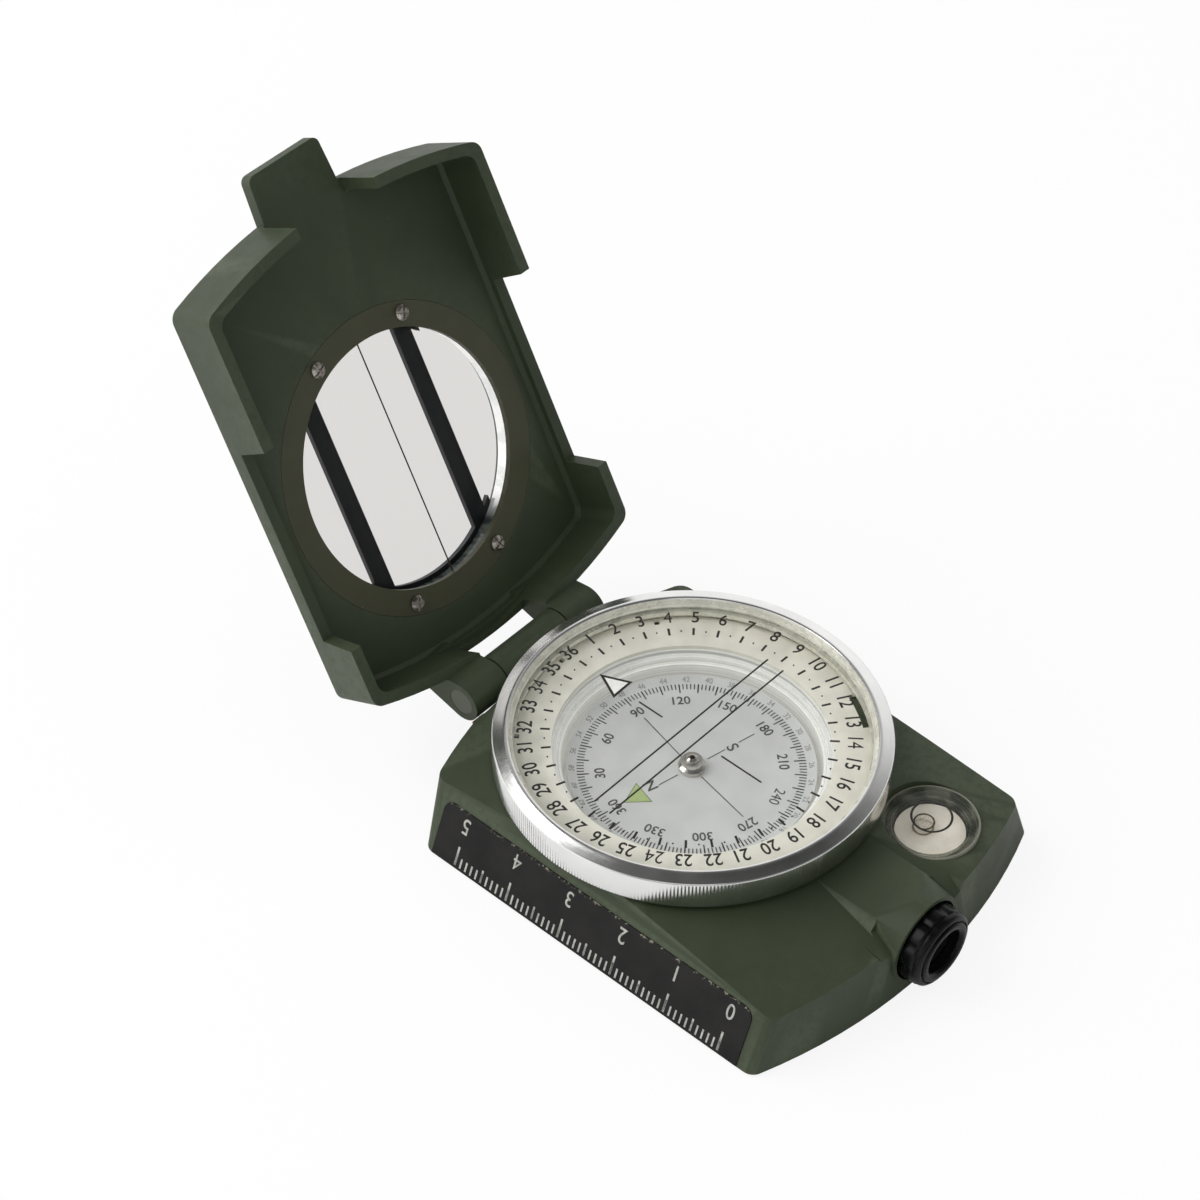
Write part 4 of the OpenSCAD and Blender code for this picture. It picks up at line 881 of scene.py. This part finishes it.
class COMPASS_OT_cover(bpy.types.Operator):
    """Soften the cover's edges and finish the cover, its window, ring, screws and sighting line"""
    bl_idname = "compass.cover"
    bl_label = "Cover"

    def execute(self, context):
        skin = softened("cover", "cover_skin", casting_look().softness)
        paint(skin, olive_enamel, window_black)
        closed = COVER_TURN.inverted()
        for face in skin.data.polygons:
            corners = [closed @ skin.data.vertices[index].co for index in face.vertices]
            height = (closed @ face.center).z / MM
            reach = max(corner.xy.length for corner in corners) / MM
            # Faces of the bars and of the wall behind the glass take the painted shade
            if WINDOW_LOW < height < WINDOW_HIGH and reach < WINDOW_REACH:
                face.material_index = 1
        place_on(skin, "lid", "olive_enamel", "cover")
        # A thin ring at the glass's edge that carries the painted highlight
        edge = turned("window_edge", [(19.96, 21.45), (20.06, 21.5), (20.06, 23.9), (19.96, 23.95)], 120)
        settle(edge, COVER_TURN)
        smoothed(edge)
        paint(edge, glass_edge)
        place_on(edge, "lid", "clear_glass")
        repaint(window_glass=window_pane, window_ring=ring_bronze_green, window_screws=screw_steel,
                sighting_line=black_ink, hinge_pin=pin_enamel)
        return {"FINISHED"}


class COMPASS_OT_bezel(bpy.types.Operator):
    """Turn the bezel with its milled side and polished lip"""
    bl_idname = "compass.bezel"
    bl_label = "Bezel"

    def execute(self, context):
        profile = [(26.5, 12.9), (28.7, 12.9), (28.95, 13.05), (29.0, 13.25), (29.0, 17.45), (28.95, 17.62),
                   (28.8, 17.75), (27.5, 18.17), (27.32, 18.25), (27.1, 18.3), (26.85, 18.3), (26.72, 18.26),
                   (26.64, 18.17), (26.52, 17.9), (26.44, 17.55), (26.4, 17.3), (26.34, 17.22), (26.0, 17.18),
                   (26.0, 17.1), (26.5, 17.1)]
        ring = turned("bezel_skin", profile, 2 * GROOVES)
        shape(ring)

        def groove(spot, item):
            turn = math.degrees(math.atan2(spot.y, spot.x)) * GROOVES / 360
            side = math.hypot(spot.x, spot.y) > BEZEL_R - 0.15 and 13 < spot.z < 17.65
            return side and abs(turn - round(turn)) < 0.2

        pick(ring, groove, "VERT")
        bpy.ops.transform.resize(value=(0.9974, 0.9974, 1), center_override=(0, 0, 0))
        smoothed(ring, 30)
        paint(ring, bright_aluminium, lip_aluminium)
        # Faces inside the lip take the painted reflection of the pale ring
        for face in ring.data.polygons:
            if face.center.xy.length < LIP_R * MM and face.center.z > 13.0 * MM:
                face.material_index = 1
        place_on(ring, "bezel", "bright_aluminium", "bezel_ring")
        # The glass's retainer takes the same painted reflection of the pale ring
        repaint(bezel_glass=clear_glass, glass_retainer=lip_aluminium, bezel_snap_ring=pin_steel)
        return {"FINISHED"}


class COMPASS_OT_bezel_print(bpy.types.Operator):
    """Print the circle of numbers, the ticks, the arrow and the sight lines on the bezel's glass"""
    bl_idname = "compass.bezel_print"
    bl_label = "Bezel print"

    def execute(self, context):
        sizes = print_sizes()
        deep = sizes.ink
        z = GLASS_TOP_Z + 0.01
        middle = (*PRINT_MIDDLE, 0)
        marks = []
        for number in range(1, 37):
            mark = lettering(str(number), sizes.bezel_digit, deep, 0.84, 0.012)
            degrees = FIRST_MARK - 0.5 - 10 * number
            marks.append(at_angle(mark, degrees, NUMBER_R, z + deep / MM / 2, PRINT_MIDDLE))
        tick = stroke(TICK_R[0], 0, TICK_R[1], 0, sizes.tick, z, deep)
        settle(tick, turned_at(mm(*middle), FIRST_MARK))
        marks.append(around(tick, 36, middle))
        dot = stroke(DOT_R[0], 0, DOT_R[1], 0, 0.24 * MM, z, deep)
        settle(dot, turned_at(mm(*middle), FIRST_MARK + 5))
        shape(dot, whole=True)
        bpy.ops.mesh.bevel(offset=0.06 * MM, segments=1, affect="EDGES")
        clear()
        marks.append(around(dot, 36, middle))
        for x0, y0, x1, y1 in ((-19.1, 1.9, 18.9, 1.9), (-19.4, -1.2, 18.7, -1.2),
                               (-0.35, 5.6, -0.35, 10.1), (-0.35, -5.6, -0.35, -13.1)):
            marks.append(stroke(x0, y0, x1, y1, sizes.sight, z, deep))
        for mark in marks:
            paint(mark, black_ink)
        corners = [mm(-0.1, 18.02, z), mm(2.02, 13.42, z), mm(-2.28, 13.32, z)]
        marks.append(arrowhead(corners, 0.4, deep, black_ink, arrow_white))
        print_piece = joined(marks[::-1], "bezel_print")
        place_on(print_piece, "bezel", "black_plastic")
        return {"FINISHED"}


class COMPASS_OT_dial(bpy.types.Operator):
    """Print the dial card and finish the dial, its bowl, its glass and the luminous ring"""
    bl_idname = "compass.dial"
    bl_label = "Dial"

    def execute(self, context):
        sizes = print_sizes()
        deep = sizes.ink
        z = CARD_Z + 0.015
        dark, faint = [], []
        for number in range(30, 361, 30):
            mark = lettering(str(number), sizes.card_digit * 1.05, deep, 0.95, 0.014)
            dark.append(at_angle(mark, NORTH - number, CARD_NUMBER_R, z + deep / MM / 2))
        for every, inner, wide in ((10, 14.95, 0.2), (2, 15.65, 0.18)):
            tick = settle(stroke(inner, 0, CARD_TICK_R, 0, wide * MM, z, deep), turned_at(mm(0, 0, 0), NORTH))
            dark.append(around(tick, 360 // every))
        for letter, tall, degrees, out in (("N", 1.75, 163.5, 7.0), ("S", 1.85, -14, 7.3)):
            mark = lettering(letter, tall * MM, deep, 1.0, 0.012)
            dark.append(at_angle(mark, degrees, out, z + deep / MM / 2))
        for degrees, r0, r1 in ((168, 2.5, 5.9), (-12, 2.9, 6.1), (-12, 8.6, 11.5), (76.8, 2.2, 11.9),
                                (-100.7, 2.3, 11.9)):
            c, s = math.cos(math.radians(degrees)), math.sin(math.radians(degrees))
            dark.append(stroke(r0 * c, r0 * s, r1 * c, r1 * s, 0.15 * MM, z, deep))
        for mark in dark:
            paint(mark, grey_ink)
        # The card's rim rises from this radius by 0.45 mm in 1.4 mm
        rim_foot = mm(16.8, 0, CARD_Z)
        rise = (Matrix.Translation(rim_foot) @ Matrix.Rotation(-math.atan2(0.45, 1.4), 4, "Y")
                @ Matrix.Translation(-rim_foot))
        for step in range(32):
            mark = lettering(str(64 - 2 * step), 0.85 * MM, deep, 0.95)
            turn = turned_at(mm(0, 0, 0), NORTH - 11.25 * step)
            faint.append(settle(mark, turn @ rise @ turned_at(mm(17.5, 0, z + deep / MM / 2), -90)))
        for mark in faint:
            paint(mark, faint_ink)
        corners = [bearing(167.2, 12.1, z), bearing(153.3, 8.66, z), bearing(181.4, 8.89, z)]
        arrow = arrowhead(corners, 0.09, deep, grey_ink, arrow_green)
        print_piece = joined([arrow, *dark, *faint], "card_print")
        place_on(print_piece, "dial", "dial_card")
        repaint(dial_card=dial_paper, dial_hub=plated_brass, jewel_cap=jewel_glass,
                dial_magnet=magnet_steel, pivot_pin=pin_steel, dial_bowl=bowl_plastic,
                dial_glass=clear_glass, luminous_ring=luminous_paint)
        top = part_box("luminous_ring")[1][2] / MM
        rim = turned("luminous_rim", [(26.02, top - 0.4), (26.4, top - 0.4), (26.4, top - 0.06),
                                      (26.34, top), (26.02, top)], 240)
        # The ring's wide notch, at this bearing, stays open
        notch, half_width = -31, 7.5
        shape(rim)
        pick(rim, lambda spot, item: abs(math.degrees(math.atan2(spot.y, spot.x)) - notch) < half_width)
        bpy.ops.mesh.delete(type="FACE")
        bpy.ops.mesh.select_all(action="SELECT")
        bpy.ops.mesh.fill_holes(sides=5)
        bpy.ops.mesh.normals_make_consistent(inside=False)
        clear()
        smoothed(rim)
        paint(rim, luminous_paint)
        place_on(rim, "casing", "luminous_paint")
        return {"FINISHED"}


class COMPASS_OT_ruler(bpy.types.Operator):
    """Print the centimetre scale on the black plate at the casing's side"""
    bl_idname = "compass.ruler"
    bl_label = "Ruler"

    def execute(self, context):
        sizes = print_sizes()
        deep = sizes.ink
        # The plate stands this far out of the casing's side
        proud = 0.145
        marks = []
        for step, count, tall, wide in ((1, 51, 1.6, 0.3), (5, 11, 2.1, 0.32), (10, 6, 3.15, 0.36)):
            tick = stroke(RULER_ZERO, RULER_FOOT, RULER_ZERO, RULER_FOOT + tall, wide * MM, proud, deep)
            modified(tick, "ARRAY", count=count, use_relative_offset=False, use_constant_offset=True,
                     constant_offset_displace=(-step * MM, 0, 0))
            marks.append(tick)
        for number in range(6):
            mark = lettering(str(number), sizes.ruler_digit * 0.86, deep, 0.84, 0.004)
            place = mm(RULER_ZERO + 0.1 - 10 * number, RULER_NUMBERS, proud + deep / MM / 2)
            marks.append(settle(mark, turned_at(place, 180)))
        scale = joined(marks, "ruler_print")
        settle(scale, RULER_SLOPE)
        paint(scale, white_ink)
        place_on(scale, "casing", "ruler_black")
        repaint(ruler_plate=ruler_black)
        return {"FINISHED"}


class COMPASS_OT_level(bpy.types.Operator):
    """Model the level's rounded cup, its ring line and the bubble"""
    bl_idname = "compass.level"
    bl_label = "Level"

    def execute(self, context):
        x, y = LEVEL
        cup = softened("level_cup", "level_cup_skin", 0.12 * MM, 40)
        paint(cup, level_acrylic)
        place_on(cup, "casing", "clear_acrylic", "level_cup")
        line = turned("level_ring_line", [(2.76, 11.36), (2.82, 11.31), (3.06, 11.31), (3.12, 11.36),
                                          (3.06, 11.41), (2.82, 11.41)], 96, centre=(x + 0.45, y + 0.3, 0))
        smoothed(line)
        paint(line, black_ink)
        place_on(line, "casing", "black_plastic")
        bx, by = x - 0.05, y + 1.15
        edge = turned("level_bubble", [(1.32, 10.0), (1.4, 9.92), (1.54, 9.92), (1.6, 10.0), (1.54, 10.08),
                                       (1.4, 10.08)], 72, centre=(bx, by, 0))
        paint(edge, bubble_edge)
        # A painted shadow of the bubble on the disc
        shadow_ring = turned("bubble_ghost", [(1.3, 8.94), (1.62, 8.94), (1.62, 8.98), (1.3, 8.98)], 72,
                       centre=(bx - 0.15, by, 0))
        paint(shadow_ring, bubble_ghost)
        middle = turned("bubble_middle", [(0.02, 10.06), (0.9, 10.04), (1.32, 9.98), (1.3, 9.94),
                                          (0.02, 9.96)], 72, centre=(bx, by, 0))
        paint(middle, air_bubble)
        bubble = joined([edge, middle, shadow_ring], "level_bubble")
        smoothed(bubble, 60)
        place_on(bubble, "casing", "clear_glass")
        repaint(level_disc=cream_disc, level_glass=clear_glass)
        return {"FINISHED"}


class COMPASS_OT_eyepiece(bpy.types.Operator):
    """Turn the scalloped focusing knob and finish the tube, the lens and the prism behind it"""
    bl_idname = "compass.eyepiece"
    bl_label = "Eyepiece"

    def execute(self, context):
        profile = [(4.35, -41.7), (5.75, -41.7), (6.0, -41.8), (6.1, -42.05), (6.1, -43.2), (6.1, -44.6),
                   (6.1, -45.3), (6.08, -45.55), (6.0, -45.75), (5.85, -45.85), (5.85, -46.35),
                   (5.75, -46.6), (5.4, -46.9), (5.15, -46.95), (5.08, -46.75), (4.98, -46.7),
                   (4.88, -46.75), (4.84, -47.05), (4.74, -47.22), (4.55, -47.3), (4.1, -47.3),
                   (3.9, -47.25), (3.62, -46.95), (3.52, -46.8), (3.5, -46.5), (3.5, -45.4), (4.35, -45.4)]
        knob = turned("knob_skin", profile, 120, "Y", (0, 0, EYE_Z))
        shape(knob)
        for low, high, share in ((0, 0.5, 0.95), (0.5, 1.5, 0.962), (1.5, 2.5, 0.985)):
            def dip(spot, item):
                turn = math.degrees(math.atan2(spot.x, spot.z - EYE_Z)) / 3 - 6
                off = abs((turn + 6) % 12 - 6)
                side = math.hypot(spot.x, spot.z - EYE_Z) > 5.7 and spot.y > -45.8
                return side and low <= off + 0.01 < high

            pick(knob, dip, "VERT")
            bpy.ops.transform.resize(value=(share, 1, share), center_override=tuple(mm(0, 0, EYE_Z)))
        smoothed(knob, 42)
        paint(knob, black_plastic)
        place_on(knob, "knob", "black_plastic", "eyepiece_knob")
        repaint(eyepiece_tube=black_plastic, lens_cell=black_plastic, prism_cradle=black_plastic,
                eyepiece_lens=lens_glass, prism=lens_glass)
        return {"FINISHED"}


class COMPASS_OT_stage(bpy.types.Operator):
    """Set the floor, the lamps, the room's light and the camera"""
    bl_idname = "compass.stage"
    bl_label = "Stage"

    def execute(self, context):
        look = stage_look()
        clear()
        bpy.ops.mesh.primitive_plane_add(size=6, location=(0, 0, -0.00006))
        floor = settle(bpy.context.object)
        floor.name = "floor"
        paint(floor, floor_white)
        for name, power, size, place in (("key_lamp", look.key, 0.8, (-0.45, 0.6, 0.7)),
                                         ("fill_lamp", look.fill, 0.6, (-0.7, -0.55, 0.5))):
            bpy.ops.object.light_add(type="AREA", location=place)
            lamp = bpy.context.object
            lamp.name = name
            lamp.data.size = size
            lamp.data.energy = power
            lamp.rotation_mode = "QUATERNION"
            lamp.rotation_quaternion = (Vector((0, 0, 0.01)) - Vector(place)).to_track_quat("-Z", "Y")
        room = bpy.data.worlds.new("room")
        context.scene.world = room
        f = Finish("room", room)
        mirror = f.node("ShaderNodeLightPath", out="Is Glossy Ray")
        through = f.node("ShaderNodeLightPath", out="Is Transmission Ray")
        way = f.node("ShaderNodeTexCoord", out="Generated")
        # Metal and glass see a room that darkens overhead and behind the camera
        overhead = f.between(f.part(way, 2), 0.5, 0.88, 1.0, 0.1)
        mirrored = overhead * f.between(f.part(way, 1), -0.5, 0.3, 0.18, 1.0)
        grey = f.node("ShaderNodeCombineXYZ", {}, {0: mirrored, 1: mirrored, 2: mirrored})
        colour = f.blend(mirror.highest(through), (look.sky, look.sky, look.sky, 1), grey)
        colour = f.blend(f.node("ShaderNodeLightPath", out="Is Camera Ray"), colour, (1, 1, 1, 1))
        light = f.node("ShaderNodeBackground", {}, {"Color": colour, "Strength": 1.0})
        f.node("ShaderNodeOutputWorld", {}, {"Surface": light})
        clear()
        bpy.ops.object.camera_add()
        camera = bpy.context.object
        camera.name = "camera"
        camera.data.sensor_width = 36
        camera.data.lens = 116.394
        camera.data.clip_start = 0.01
        camera.data.clip_end = 20
        # The photograph's viewpoint, aim and tilt
        eye = mm(-296.16, -238.78, 425.31)
        target = mm(24.16, 39.32, 0)
        roll = math.radians(1.33)
        ahead = (target - eye).normalized()
        right = ahead.cross(Vector((0, 0, 1))).normalized()
        above = right.cross(ahead)
        across = right * math.cos(roll) + above * math.sin(roll)
        upward = above * math.cos(roll) - right * math.sin(roll)
        turn = Matrix((across, upward, -ahead)).transposed().to_4x4()
        turn.translation = eye
        camera.matrix_world = turn
        context.scene.camera = camera
        context.scene.view_settings.view_transform = "Standard"
        return {"FINISHED"}


STEPS = (COMPASS_OT_casing, COMPASS_OT_cover, COMPASS_OT_bezel, COMPASS_OT_bezel_print, COMPASS_OT_dial,
         COMPASS_OT_ruler, COMPASS_OT_level, COMPASS_OT_eyepiece, COMPASS_OT_stage)


class COMPASS_PT_panel(bpy.types.Panel):
    """Sizes, colours and steps of the folding sighting compass"""
    bl_idname = "COMPASS_PT_panel"
    bl_label = "Folding sighting compass"
    bl_space_type = "VIEW_3D"
    bl_region_type = "UI"
    bl_category = "Compass"

    def draw(self, context):
        for group in (print_sizes(), casting_look(), dial_look(), stage_look()):
            box = self.layout.box()
            for key in group.__annotations__:
                box.prop(group, key)
        for step in STEPS:
            self.layout.operator(step.bl_idname)


GROUPS = {"compass_print": PrintSizes, "compass_casting": CastingLook, "compass_dial": DialLook,
          "compass_stage": StageLook}


def register():
    for group in GROUPS.values():
        bpy.utils.register_class(group)
    for key, group in GROUPS.items():
        setattr(bpy.types.Scene, key, PointerProperty(type=group))
    for step in STEPS:
        bpy.utils.register_class(step)
    bpy.utils.register_class(COMPASS_PT_panel)


def unregister():
    bpy.utils.unregister_class(COMPASS_PT_panel)
    for step in reversed(STEPS):
        bpy.utils.unregister_class(step)
    for key, group in GROUPS.items():
        delattr(bpy.types.Scene, key)
        bpy.utils.unregister_class(group)


def main():
    register()
    bpy.ops.compass.casing()
    bpy.ops.compass.cover()
    bpy.ops.compass.bezel()
    bpy.ops.compass.bezel_print()
    bpy.ops.compass.dial()
    bpy.ops.compass.ruler()
    bpy.ops.compass.level()
    bpy.ops.compass.eyepiece()
    bpy.ops.compass.stage()


if __name__ == "__main__":
    main()
